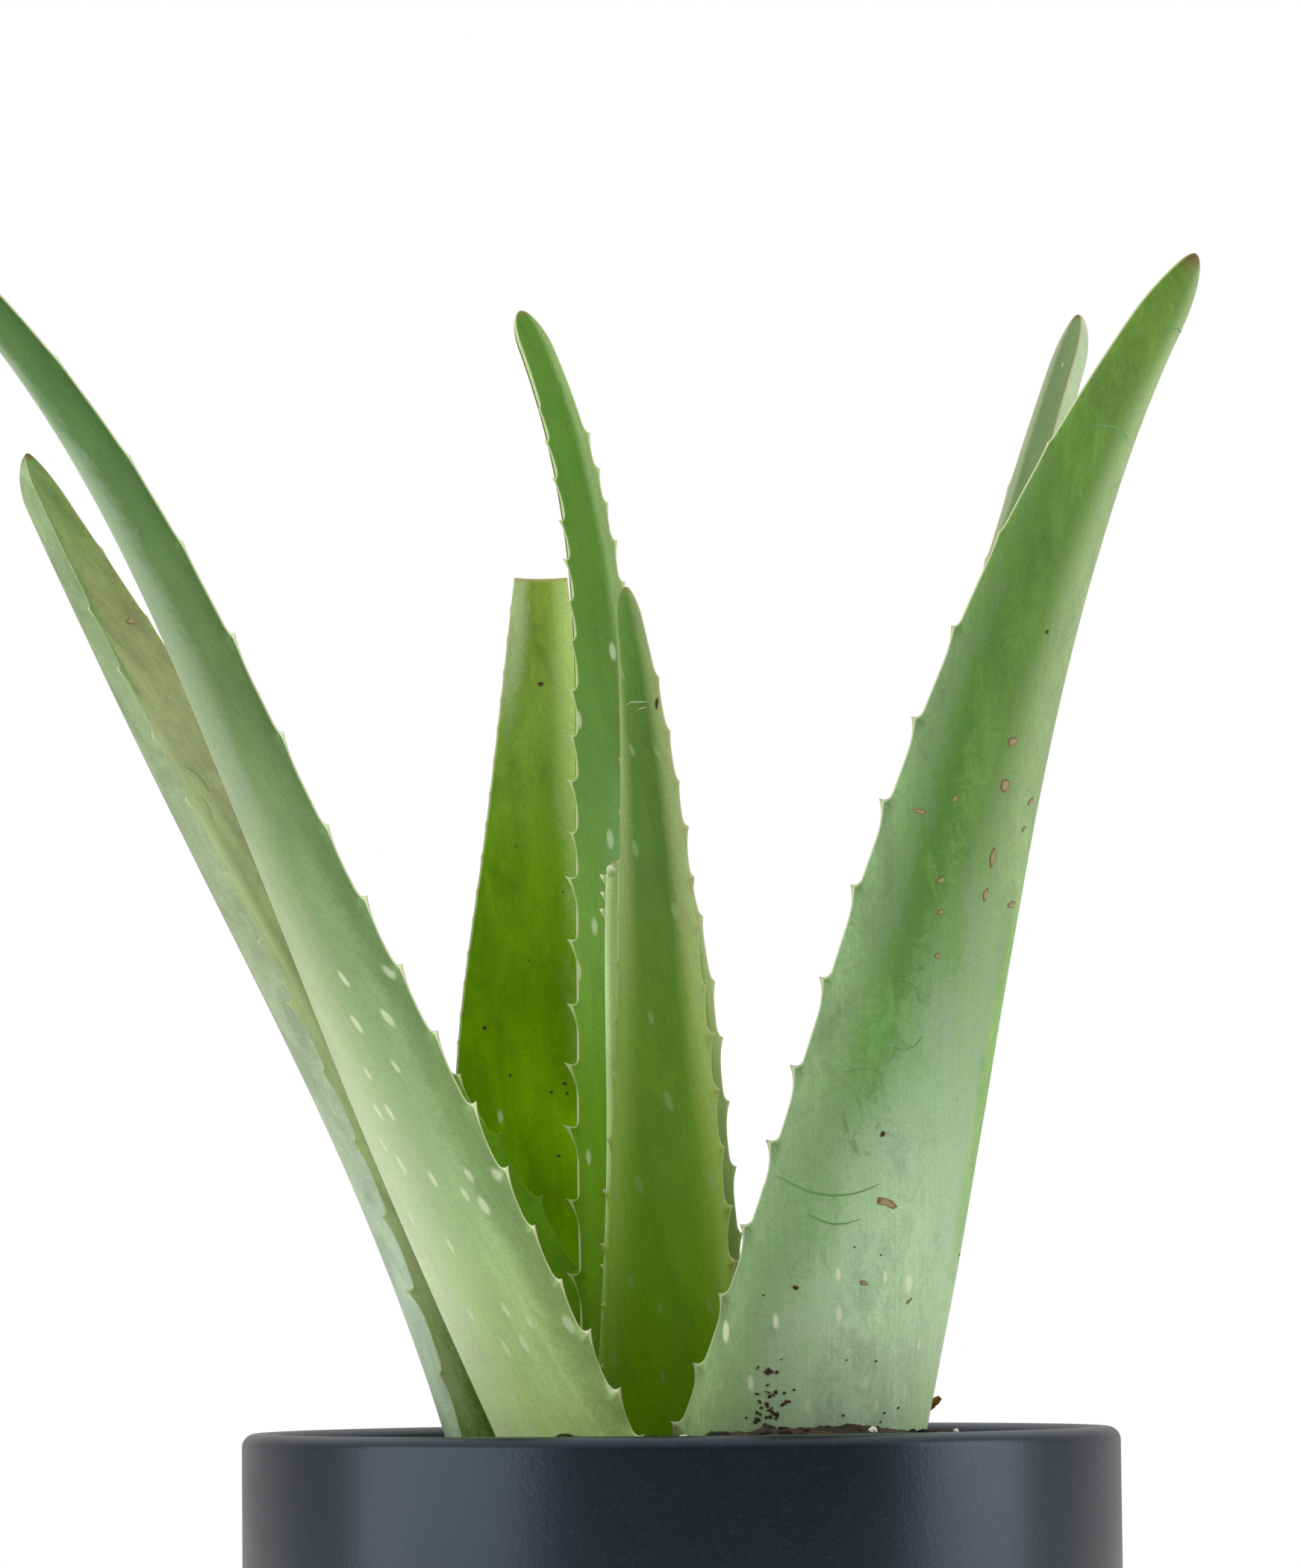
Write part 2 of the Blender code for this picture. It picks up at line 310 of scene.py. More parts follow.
@dataclass(frozen=True)
class LeafSkin:
    """Waxy aloe skin: a tough clear skin over watery green flesh, dulled by a grey bloom.

    It gives the eye a soft satin shine, pale bands of bloom mixed with painted sheen, patches of painted
    shade, fine lengthwise streaks, pale elongated flecks, and a cream horny margin that carries the teeth.
    outer and inner are the bare colours from foot to tip of the back and the hollow face; on several leaves
    these colours are already darkened as painted shade.
    """

    outer: tuple[str, ...]
    inner: tuple[str, ...]
    outer_washes: tuple[Wash, ...] = ()
    inner_washes: tuple[Wash, ...] = ()
    fleck: str = "#d5e0be"
    flecks: float = 0.3
    fleck_strength: float = 0.55
    fleck_span: tuple[float, float] = (0.9, 0.3)
    mottling: float = 0.12
    scuffing: float = 0.04
    margin: str = "#d3d9ae"
    tooth_tip: str = "#e8e4c4"
    margin_mm: float = 0.2
    # Carries the cream margin onto the back face: painted light over a strip of the back that lies in shade.
    margin_over_back_shade: float = 0.0
    tip: str = "#7a5a3a"
    tip_mm: float = 1.5
    roughness: float = 0.45
    shine: float = 0.25

    def material(self, name: str) -> bpy.types.Material:
        """Make the skin's material.

        Args:
            name: the material's name.

        Returns:
            The material, which reads the leaf's own values skin, place and edge.
        """
        paint = Paint(name)
        skin, place, edge = (paint.add("ShaderNodeAttribute", {"attribute_name": key}, {})
                             .outputs["Vector"] for key in ("skin", "place", "edge"))
        _, share, inner = self.split(paint, place)
        horn, tooth, end = self.split(paint, edge)
        # Lengths of one wave across and along, in millimetres.
        mottle = paint.noise(skin, (6.0, 16.0, 1.0), 6.0, 0.6)
        swirl = paint.noise(skin, (3.5, 5.0, 1.0), 6.0, 2.5)
        streak = paint.noise(skin, (0.5, 30.0, 1.0))
        grain = paint.noise(skin, (0.5, 0.6, 1.0))
        ragged = paint.math("ADD", paint.math("MULTIPLY_ADD", swirl, 1.2, -0.6),
                            paint.math("MULTIPLY_ADD", mottle, 2.0, -1.0))
        sides = []
        # The washes hold bloom and stains together with painted sheen, painted highlights and painted shade.
        for colours, washes in ((self.outer, self.outer_washes), (self.inner, self.inner_washes)):
            side = paint.ramp(share, colours)
            for wash in washes:
                side = self.lay(paint, side, wash, place, share, ragged)
            sides.append(side)
        colour = paint.mix(inner, *sides)
        tones = (paint.span(streak, 0.955, 1.045), paint.span(grain, 0.92, 1.08),
                 paint.span(mottle, 1 - self.mottling, 1 + self.mottling),
                 paint.span(swirl, 1 - self.scuffing, 1 + self.scuffing))
        tone = tones[0]
        for other in tones[1:]:
            tone = paint.math("MULTIPLY", tone, other)
        colour = paint.add("ShaderNodeVectorMath", {"operation": "SCALE"},
                           {0: colour, "Scale": tone}).outputs[0]
        colour = paint.mix(self.fleck_mask(paint, skin, share), colour, self.fleck)
        colour = paint.mix(paint.step(horn, -0.2, 0.12, 0.85), colour, self.margin)
        colour = paint.mix(paint.step(tooth, 0.8, 1.0, 0.5), colour, self.tooth_tip)
        colour = paint.mix(paint.step(end, 1.0, 0.0, 0.9), colour, self.tip)
        relief = paint.bump(streak, 0.02, paint.bump(mottle, 0.15))
        return paint.finish(colour, paint.span(mottle, self.roughness - 0.05, self.roughness + 0.08),
                            relief, IOR=1.42, Specular_IOR_Level=self.shine,
                            Subsurface_Weight=0.1, Subsurface_Radius=(0.6, 1.0, 0.1),
                            Subsurface_Scale=2.0 * MM)

    @staticmethod
    def split(paint: Paint, vector: Socket) -> tuple[Socket, Socket, Socket]:
        """Take a vector apart into its three numbers."""
        node = paint.add("ShaderNodeSeparateXYZ", {}, {0: vector})
        return node.outputs[0], node.outputs[1], node.outputs[2]

    @staticmethod
    def lay(paint: Paint, under: Socket, wash: Wash, place: Socket, share: Socket,
            ragged: Socket) -> Socket:
        """Lay a wash over a colour.

        Args:
            paint: the material being made.
            under: colour so far.
            wash: the patch.
            place: across and share on the leaf.
            share: share along the leaf.
            ragged: noise that breaks up the patch's edge.

        Returns:
            The colour with the patch on it.
        """
        off = paint.add("ShaderNodeVectorMath", {"operation": "SUBTRACT"},
                        {0: place, 1: (wash.across, wash.share, 0.0)}).outputs[0]
        scaled = paint.add("ShaderNodeVectorMath", {"operation": "MULTIPLY"},
                           {0: off, 1: (1 / wash.wide, 1 / wash.tall, 0.0)}).outputs[0]
        far = paint.add("ShaderNodeVectorMath", {"operation": "LENGTH"}, {0: scaled})
        broken = paint.math("MULTIPLY_ADD", ragged, wash.ragged, far.outputs["Value"])
        mask = paint.step(broken, 1.15, 0.35, wash.strength)
        return paint.mix(mask, under, paint.ramp(share, wash.colours))

    def fleck_mask(self, paint: Paint, skin: Socket, share: Socket) -> Socket:
        """Pale flecks about 1.2 mm wide and 3 mm long, thinning out towards the tip."""
        scaled = paint.add("ShaderNodeVectorMath", {"operation": "MULTIPLY"},
                           {0: skin, 1: (1 / 4.5, 1 / 11.0, 0.0)}).outputs[0]
        cell = paint.add("ShaderNodeTexVoronoi", {"voronoi_dimensions": "2D"},
                         {"Vector": scaled, "Scale": 1.0, "Randomness": 1.0})
        chance = paint.add("ShaderNodeSeparateColor", {}, {0: cell.outputs["Color"]})
        share_left = paint.step(share, *self.fleck_span, self.flecks)
        keep = paint.math("LESS_THAN", chance.outputs[0], share_left)
        size = paint.math("MULTIPLY_ADD", chance.outputs[1], 0.06, 0.1)
        inside = paint.math("SUBTRACT", size, cell.outputs["Distance"])
        return paint.math("MULTIPLY", paint.step(inside, -0.035, 0.07, self.fleck_strength), keep)


class MarkKind(Enum):
    """What a mark on a leaf is."""

    SCAB = "corky_scab"
    SPECK = "dirt_speck"
    SCRATCH = "healed_scratch"
    SCAR = "dry_scar"
    HOOK = "horny_hook"


@dataclass(frozen=True)
class Mark:
    """One small blemish: where it sits on the leaf and how large it is, in millimetres.

    across is -1 and 1 at the margins; along runs from the foot. turn is the angle of its
    length from the leaf's width direction, and sag how far a scratch bows.
    """

    kind: MarkKind
    across: float
    along: float
    length: float
    breadth: float
    turn: float = 0.0
    sag: float = 0.0


@dataclass(frozen=True)
class Spatter:
    """Specks of splashed soil scattered over an area of the leaf."""

    across: float
    along: float
    wide: float
    tall: float
    count: int
    sizes: tuple[float, float] = (0.3, 0.9)

    def specks(self, seed: int) -> list[Mark]:
        """Scatter the specks, closest together at the middle of the area."""
        rng = random.Random(seed)
        return [Mark(MarkKind.SPECK, self.across + rng.gauss(0, self.wide / 2),
                     max(1.0, self.along + rng.gauss(0, self.tall / 2)),
                     rng.uniform(*self.sizes), rng.uniform(*self.sizes) * 0.8, rng.uniform(0, 180))
                for _ in range(self.count)]


@dataclass(frozen=True)
class Blemish:
    """Finish of one kind of mark, paler or darker in its middle than at its rim."""

    rim: str
    core: str
    roughness: float = 0.8

    def material(self, name: str) -> bpy.types.Material:
        """Make the finish.

        Args:
            name: the material's name.

        Returns:
            The material, which reads core, the closeness to the mark's middle.
        """
        paint = Paint(name)
        core = paint.add("ShaderNodeAttribute", {"attribute_name": "core"}, {}).outputs["Fac"]
        crust = paint.noise(paint.place(), 0.6 * MM, 3.0)
        edge = paint.math("ADD", core, paint.math("MULTIPLY_ADD", crust, 0.8, -0.4))
        return paint.finish(paint.mix(paint.step(edge, 0.25, 0.7), self.rim, self.core),
                            self.roughness, paint.bump(crust, 0.1))


BLEMISHES = {
    MarkKind.SCAB: Blemish(rim="#76603f", core="#94875f"),
    MarkKind.SPECK: Blemish(rim="#584824", core="#2c2216", roughness=0.9),
    MarkKind.SCRATCH: Blemish(rim="#6f9660", core="#588848", roughness=0.5),
    MarkKind.SCAR: Blemish(rim="#55633f", core="#a9b292"),
    MarkKind.HOOK: Blemish(rim="#a8c07c", core="#e6e6c8", roughness=0.5),
}


@dataclass
class Leaf:
    """One aloe leaf: a thick crescent section swept along a bending spine, with hooked teeth.

    lean is the angle from upright and heading the compass angle it leans to (0 = +X,
    90 = +Y), read at even stations from foot to tip, as are width, belly and channel.
    """

    name: str
    bearing: float
    distance: float
    length: float
    lean: tuple[float, ...]
    heading: tuple[float, ...]
    roll: tuple[float, float]
    width: tuple[float, ...]
    belly: tuple[float, float]
    channel: tuple[float, float]
    tip: float
    skin: LeafSkin
    slot: Slot
    seed: int
    tooth: float = 1.6
    tooth_pitch: float = 11.0
    pitch_growth: float = 0.0
    tooth_width: float = 6.0
    tooth_fade: float = 0.7
    tooth_sides: tuple[float, float] = (1.0, 1.0)
    first_tooth: float = 1.0
    toothed_share: float = 0.9
    plain_margin: float = 0.0
    marks_inside: bool = False
    marks: tuple[Mark, ...] = ()
    spatters: tuple[Spatter, ...] = ()
    seat_height: float = 122.3
    ring_step: float = 0.6
    buried: float = 5.0
    inner_steps: int = 18
    outer_steps: int = 28

    def spine(self, along_mm: np.ndarray) -> tuple[np.ndarray, ...]:
        """Follow the leaf's spine.

        Args:
            along_mm: distances from the foot, below zero under the soil.

        Returns:
            Points, tangents, width directions and inner-face normals at those distances.
        """

        def tangents(u: np.ndarray) -> np.ndarray:
            """Unit direction of growth at the shares u."""
            lean = np.radians(smooth(self.lean, u))
            heading = np.radians(smooth(self.heading, u))
            flat = np.sin(lean)
            return np.stack([flat * np.cos(heading), flat * np.sin(heading), np.cos(lean)], 1)

        fine = np.linspace(0, 1, 401)
        steps = tangents((fine[1:] + fine[:-1]) / 2) * (self.length / 400)
        path = np.vstack([np.zeros(3), np.cumsum(steps, 0)])
        t = along_mm / self.length
        bearing = math.radians(self.bearing)
        seat = np.array([self.distance * math.cos(bearing), self.distance * math.sin(bearing),
                         self.seat_height])
        points = np.stack([np.interp(t, fine, path[:, axis]) for axis in range(3)], 1) + seat
        along = tangents(t)
        points += along * np.minimum(along_mm, 0)[:, None]
        heading = np.radians(smooth(self.heading, t))
        across = np.stack([-np.sin(heading), np.cos(heading), np.zeros_like(heading)], 1)
        inner = np.cross(along, across)
        roll = np.radians(smooth(self.roll, t))[:, None]
        return (points, along, across * np.cos(roll) + inner * np.sin(roll),
                inner * np.cos(roll) - across * np.sin(roll))

    def section(self, along_mm: np.ndarray) -> tuple[np.ndarray, ...]:
        """Half width, belly and channel at distances from the foot, rounded off at the tip."""
        t = np.clip(along_mm / self.length, 0, 1)
        closing = np.ones_like(along_mm)
        if self.tip:
            into = np.clip((along_mm - (self.length - self.tip)) / self.tip, 0, 1)
            closing = np.sqrt(1 - into ** 2)
        return (smooth(self.width, t) / 2 * closing, smooth(self.belly, t) * closing,
                smooth(self.channel, t) * closing)

    def teeth(self, side: int) -> list[tuple[float, float]]:
        """Place the teeth of one margin.

        Args:
            side: -1 or 1, which margin.

        Returns:
            Each tooth's place along the leaf and its height.
        """
        rng = random.Random(self.seed * 10 + side)
        tallest = self.tooth * self.tooth_sides[0 if side < 0 else 1]
        place = self.first_tooth + rng.uniform(0, 1.0)
        found = []
        while place < self.length * self.toothed_share:
            fade = 1 - self.tooth_fade * max(0.0, place / self.length - 0.3) / 0.7
            found.append((place, tallest * fade * rng.uniform(0.65, 1.2)))
            pitch = self.tooth_pitch + self.pitch_growth * place
            place += pitch * rng.uniform(0.88, 1.12)
        return found

    def tooth_profile(self, along_mm: np.ndarray, side: int) -> tuple[np.ndarray, np.ndarray]:
        """Height of the toothed margin above the plain margin.

        Args:
            along_mm: distances from the foot.
            side: -1 or 1, which margin.

        Returns:
            Height in millimetres, and the share of its tooth's height, at each distance.
        """
        height = np.zeros_like(along_mm)
        share = np.zeros_like(along_mm)
        for place, size in self.teeth(side):
            offset = along_mm - place
            base = np.where(offset < 0, self.tooth_width, self.tooth_width * 0.45)
            closeness = np.clip(1 - np.abs(offset) / base, 0, 1)
            rise = 0.3 * closeness ** 1.5 + 0.7 * closeness ** 4
            height = np.maximum(height, size * rise)
            share = np.maximum(share, np.clip(closeness * 1.5 - 0.5, 0, 1) ** 1.5)
        return height, share

    def rings_along(self) -> np.ndarray:
        """Distances from the foot that carry a ring of corners, closer on the teeth."""
        body_end = self.length - self.tip
        marks = list(np.arange(-self.buried, body_end, self.ring_step))
        for side in (-1, 1):
            for place, _ in self.teeth(side):
                marks += [place + off for off in (-0.9, -0.6, -0.3, -0.12, 0, 0.12, 0.3, 0.6)]
        steps = 16
        closing = [self.length - self.tip * (1 - math.sin(math.pi / 2 * i / steps))
                   for i in range(steps)] if self.tip else [self.length]
        marks = sorted([m for m in marks if m < body_end - 0.05] + closing)
        kept = [marks[0]]
        for mark in marks[1:]:
            if mark - kept[-1] > 0.1:
                kept.append(mark)
        return np.array(kept)

    def build(self) -> None:
        """Build the leaf's skin as one closed mesh, dress it and add its marks."""
        s = self.rings_along()
        points, along, across, inner = self.spine(s)
        half, belly, channel = self.section(s)
        sway = np.array([noise.noise(Vector((self.seed * 3.1, place * 0.035, 0.0)))
                         for place in s])
        half = half * (1 + 0.02 * sway)
        profiles = {side: self.tooth_profile(s, side) for side in (-1, 1)}
        blade = 1.0
        rings, edge, place, flat = [], [], [], []
        sections = [(-math.cos(math.pi * k / self.inner_steps), None)
                    for k in range(self.inner_steps + 1)]
        sections += [(math.cos(a), a) for a in (math.pi * (1 - math.cos(math.pi * k
                     / self.outer_steps)) / 2 for k in range(1, self.outer_steps))]
        t = np.clip(s / self.length, 0, 1)
        for u, angle in sections:
            depth = channel * (1 - u * u) if angle is None else belly * math.sin(angle)
            rise, share = profiles[1 if u >= 0 else -1]
            from_margin = np.hypot(half * (1 - abs(u)), depth)
            hold = np.clip(1 - from_margin / blade, 0, 1) ** 1.3
            reach = half * u + (1 if u >= 0 else -1) * rise * hold
            rings.append(points + across * reach[:, None] - inner * depth[:, None]
                         + along * (rise * hold * 0.6)[:, None])
            flat.append(np.stack([half * u, depth], 1))
            end = np.clip((self.length - s) / self.skin.tip_mm, 0, 1)
            # The cream widened onto the back face is painted light over a strip that lies in shade.
            horn = (self.skin.margin_mm + 0.45 * rise * share - from_margin - rise * (1 - hold)
                    + (0.0 if angle is None else self.skin.margin_over_back_shade))
            if u < 0:
                horn = horn - 3 * np.clip((self.plain_margin - s) / 10, 0, 1)
            edge.append(np.stack([horn, share * hold, end], 1))
            place.append(np.stack([np.full_like(s, u), t,
                                   np.full_like(s, 1.0 if angle is None else 0.0)], 1))
        around = len(rings)
        place_values = np.stack(place, 1)
        steps = np.diff(np.stack(flat, 1), axis=1, prepend=flat[0][:, None])
        girth = np.cumsum(np.linalg.norm(steps, axis=2), axis=1)
        offset = place_values[..., 2] * 100 + self.seed * 37.0
        skin = np.stack([girth + offset, np.repeat(s[:, None], around, 1), offset], 2)
        shape = Shape(np.stack(rings, 1).reshape(-1, 3), join_rings(len(s), around),
                      {"skin": skin.reshape(-1, 3), "place": place_values.reshape(-1, 3),
                       "edge": np.stack(edge, 1).reshape(-1, 3)})
        first, last = np.arange(around), (len(s) - 1) * around + np.arange(around)
        shape.faces.append(first[::-1].tolist())
        caps = ((0.5, -0.06), (0.0, -0.09)) if self.tip else ((0.92, 0.0), (0.75, 0.5), (0.0, 0.9))
        self.close_end(shape, last, along[-1], caps)
        shape.make(self.name, self.skin.material(self.name + "_skin"), self.name)
        self.build_marks()

    @staticmethod
    def close_end(shape: Shape, edge: np.ndarray, along: np.ndarray,
                  caps: tuple[tuple[float, float], ...]) -> None:
        """Close the leaf's far end with rings that shrink to a point.

        Args:
            shape: the leaf so far.
            edge: numbers of the corners around its end.
            along: direction of growth at its end.
            caps: share of the ring's size and depth below the edge, for each ring.
        """
        ring = shape.points[edge]
        centre = ring.mean(0)
        before = edge
        for scale, sink in caps:
            start = len(shape.points)
            rows = ring if scale else ring[:1]
            shape.points = np.vstack([shape.points, centre + (rows - centre) * scale - along * sink])
            for key, numbers in shape.values.items():
                added = numbers[edge[:len(rows)]].copy()
                if key == "edge":
                    added[:, 0], added[:, 2] = 9.0, 0.0
                shape.values[key] = np.vstack([numbers, added])
            count = len(edge)
            if scale:
                after = np.arange(start, start + count)
                shape.faces += [[int(before[k]), int(before[(k + 1) % count]),
                                 int(after[(k + 1) % count]), int(after[k])] for k in range(count)]
                before = after
            else:
                shape.faces += [[int(before[k]), int(before[(k + 1) % count]), start]
                                for k in range(count)]

    def on_skin(self, across: np.ndarray, along_mm: np.ndarray, lift: np.ndarray) -> np.ndarray:
        """Points on the marked face of the leaf.

        Args:
            across: -1 to 1 from margin to margin.
            along_mm: distances from the foot.
            lift: height above the skin.

        Returns:
            The points.
        """
        points, _, wide, inner = self.spine(along_mm)
        half, belly, channel = self.section(along_mm)
        u = np.clip(across, -0.98, 0.98)
        root = np.sqrt(1 - u * u)
        if self.marks_inside:
            depth, out = channel * (1 - u * u), np.stack([np.zeros_like(u), np.ones_like(u)], 1)
        else:
            depth = belly * root
            out = np.stack([u * belly, -root * half], 1)
            out /= np.linalg.norm(out, axis=1)[:, None]
        reach = half * u + out[:, 0] * lift
        rise = -depth + out[:, 1] * lift
        return points + wide * reach[:, None] + inner * rise[:, None]

    def build_marks(self) -> None:
        """Build the leaf's blemishes, one piece for each kind."""
        marks = list(self.marks)
        for number, spatter in enumerate(self.spatters):
            marks += spatter.specks(self.seed * 100 + number)
        for kind, blemish in BLEMISHES.items():
            shape = Shape(np.zeros((0, 3)), [], {"core": np.zeros(0)})
            for number, mark in enumerate(m for m in marks if m.kind is kind):
                if kind in (MarkKind.SCRATCH, MarkKind.SCAR):
                    self.add_scratch(shape, mark)
                elif kind is MarkKind.HOOK:
                    self.add_hook(shape, mark)
                else:
                    self.add_blob(shape, mark, number)
            if shape.faces:
                shape.make(f"{self.name}_{kind.value}s", blemish.material(kind.value))

    def add_blob(self, shape: Shape, mark: Mark, number: int) -> None:
        """Add a small crusty dome to the marks.

        Args:
            shape: the marks so far.
            mark: place and size.
            number: count of the mark, for its outline.
        """
        around = 16
        half = float(self.section(np.array([mark.along]))[0][0])
        angles = np.linspace(0, 2 * math.pi, around, endpoint=False)
        outline = np.array([1 + 0.55 * noise.noise(Vector((math.cos(a) * 1.4, math.sin(a) * 1.4,
                                                           number * 3.7 + self.seed)))
                            for a in angles])
        turn = math.radians(mark.turn)
        start = len(shape.points)
        thick = 0.07 + 0.03 * min(mark.length, mark.breadth)
        for share, lift, core in ((1.0, -0.06, 0.0), (0.85, thick, 0.2), (0.5, thick * 1.2, 0.7),
                                  (0.12, thick * 0.9, 1.0)):
            a = np.cos(angles) * outline * share * mark.length / 2
            b = np.sin(angles) * outline * share * mark.breadth / 2
            wide, tall = a * math.cos(turn) - b * math.sin(turn), a * math.sin(turn) + b * math.cos(turn)
            ring = self.on_skin(mark.across + wide / half, mark.along + tall,
                                np.full(around, lift))
            shape.points = np.vstack([shape.points, ring])
            shape.values["core"] = np.concatenate([shape.values["core"], np.full(around, core)])
        shape.faces += join_rings(4, around, start)
        shape.faces.append(list(range(start + 3 * around, start + 4 * around)))

    def add_hook(self, shape: Shape, mark: Mark) -> None:
        """Add a horny hook that curves up towards the leaf's tip to the marks.

        Args:
            shape: the marks so far.
            mark: place, height as its length, and breadth at its root.
        """
        around = 12
        half = float(self.section(np.array([mark.along]))[0][0])
        angles = np.linspace(0, 2 * math.pi, around, endpoint=False)
        start = len(shape.points)
        for share, rise, core in ((1.0, -0.25, 0.0), (0.7, 0.2, 0.1), (0.4, 0.6, 0.6),
                                  (0.06, 1.0, 1.0)):
            wide = np.cos(angles) * share * mark.breadth / 2
            tall = np.sin(angles) * share * mark.breadth + max(0.0, rise) * mark.length * 0.9
            ring = self.on_skin(mark.across + wide / half, mark.along + tall,
                                np.full(around, rise * mark.length))
            shape.points = np.vstack([shape.points, ring])
            shape.values["core"] = np.concatenate([shape.values["core"], np.full(around, core)])
        shape.faces += join_rings(4, around, start)
        shape.faces.append(list(range(start + 3 * around, start + 4 * around)))

    def add_scratch(self, shape: Shape, mark: Mark) -> None:
        """Add a thin bowed ridge, tapering to both ends, to the marks.

        Args:
            shape: the marks so far.
            mark: place, length, breadth and sag.
        """
        steps = max(8, int(mark.length * 2))
        half = float(self.section(np.array([mark.along]))[0][0])
        t = np.linspace(0, 1, steps + 1)
        turn = math.radians(mark.turn)
        run = (t - 0.5) * mark.length
        bow = mark.sag * 4 * t * (1 - t)
        bow += 0.25 * np.array([noise.noise(Vector((place * 5, mark.along, 0))) for place in t])
        breadth = mark.breadth / 2 * np.sqrt(np.sin(math.pi * np.clip(t, 0.02, 0.98)))
        start = len(shape.points)
        for side, lift, core in ((-1, -0.05, 0.0), (-0.4, 0.09, 0.8), (0.4, 0.09, 1.0),
                                 (1, -0.05, 0.0)):
            off = bow + side * breadth
            wide = run * math.cos(turn) - off * math.sin(turn)
            tall = run * math.sin(turn) + off * math.cos(turn)
            row = self.on_skin(mark.across + wide / half, mark.along + tall,
                               np.full(steps + 1, lift))
            shape.points = np.vstack([shape.points, row])
            shape.values["core"] = np.concatenate([shape.values["core"],
                                                   np.full(steps + 1, core)])
        count = steps + 1
        shape.faces += [[start + r * count + k, start + r * count + k + 1,
                         start + (r + 1) * count + k + 1, start + (r + 1) * count + k]
                        for r in range(3) for k in range(steps)]


# Outer colours of this leaf: the pale wash over the left part is bloom and painted sheen from the left soft
# box. Its pale foot and the outer colours' pale foot are painted light against the shade there. The dark
# wash at the toothed margin is painted shade.
FRONT_LEFT_SKIN = LeafSkin(
    outer=("#bedc88", "#90ae78", "#769462", "#587442", "#476b35", "#436530"),
    inner=("#4f6c20", "#7d9a52", "#8ba868", "#84a060", "#7d9a52"),
    outer_washes=(
        Wash(("#d8ecb0", "#bac8a1", "#a0ae84", "#8e9c70", "#a2b896", "#a8be9a"),
             -0.75, 0.4, 1.2, 0.75, 0.95, 0.35),
        Wash(("#8a9c70", "#819777", "#6a8a6c"), -0.1, 0.62, 0.6, 0.22, 0.6, 0.5),
        Wash(("#7c9a54", "#5c7c48", "#50703c"), 1.0, 0.25, 0.22, 0.42, 0.6, 0.4),),
    flecks=0.62, fleck_span=(0.42, 0.36), tip="#8a6a44")

# Outer colours of this leaf: the pale washes on the right side and at the left margin are bloom brightened
# into painted sheen from the soft boxes. The pale wash over the foot is bloom lightened against the shade
# there, which is painted light. The two dark washes left of the middle are mottling deepened into painted
# shade where the belly turns from the lights.
FRONT_RIGHT_SKIN = LeafSkin(
    outer=("#a2c282", "#769868", "#6c8e58", "#608640", "#547b31", "#5a8132", "#648833"),
    inner=("#54741f", "#839a62", "#98ac78", "#90a568", "#869850"),
    outer_washes=(
        Wash(("#c6e6ac", "#90ae82", "#84a06c", "#8aa46e", "#92ac74", "#90a872"),
             0.85, 0.6, 0.95, 1.3, 0.95, 0.35),
        Wash(("#d2f0c4", "#9cbc96", "#86a47e", "#84a27a"), 0.05, 0.1, 0.95, 0.38, 0.8, 0.7),
        Wash(("#5c8a3c", "#4c7a2c", "#4f7d34"), -0.72, 0.52, 0.5, 0.22, 0.75, 1.3),
        Wash(("#5f8d40", "#507e30"), -0.6, 0.36, 0.32, 0.07, 0.7, 1.3),
        Wash(("#7fa868", "#84ae6a"), 1.0, 0.36, 0.25, 0.22, 0.7, 0.4),
        Wash(("#7c9a66", "#7f9c70", "#76925c"), -1.05, 0.42, 0.4, 0.4, 0.7, 0.8),
        Wash(("#7fa954", "#78a650"), 0.82, 0.33, 0.2, 0.2, 0.75, 0.5),),
    fleck="#e2ecc8", fleck_strength=0.75, flecks=0.45, fleck_span=(0.2, 0.16), mottling=0.2, scuffing=0.12, tooth_tip="#c9a070", tip="#6b4a2c",
    tip_mm=3.0)

# The inner colours' dark saturated green at the foot, and the wash at the foot of the back margin, are
# painted shade for the hollow face down in the rosette.
BACK_LEFT_SKIN = LeafSkin(
    outer=("#8ea684", "#a2b69c", "#95a488", "#929f7f", "#879773", "#7c9068", "#8a9e74"),
    inner=("#42640a", "#587c08", "#8c9c50", "#8c9963", "#969f6f", "#88925c", "#708848"),
    inner_washes=(Wash(("#b4c48a", "#b8c890", "#a0ab80"), 0.95, 0.42, 0.45, 0.5, 0.9, 0.5),
                  Wash(("#568600", "#5c8c00", "#709a30"), -1.0, 0.2, 0.9, 0.22, 1.0, 0.2),
                  Wash(("#6f8f48", "#6c8a4c"), 0.0, 0.97, 1.0, 0.1, 0.8, 0.5),
                  Wash(("#5f8a3c", "#5a8638"), 0.95, 0.86, 0.35, 0.16, 0.7, 0.9)),
    flecks=0.0, mottling=0.24, scuffing=0.08, margin_mm=0.02, tip="#6b4a2c", tip_mm=2.0,
    shine=0.12)

# The inner colours, darker than the outer ones, are painted shade for the hollow face, which lies in shade.
# The pale inner wash by the margin near the tip is a painted highlight.
BACK_RIGHT_SKIN = LeafSkin(
    outer=("#7f9a62", "#8ba776", "#9fb489", "#b0c29d"),
    inner=("#3f6410", "#5d8032", "#647f4c", "#63804c", "#6c8452"),
    inner_washes=(Wash(("#98a684", "#a1b08e"), 0.95, 0.85, 0.3, 0.3, 0.8, 0.4),),
    flecks=0.1, margin_mm=0.25, margin="#b9b28c")

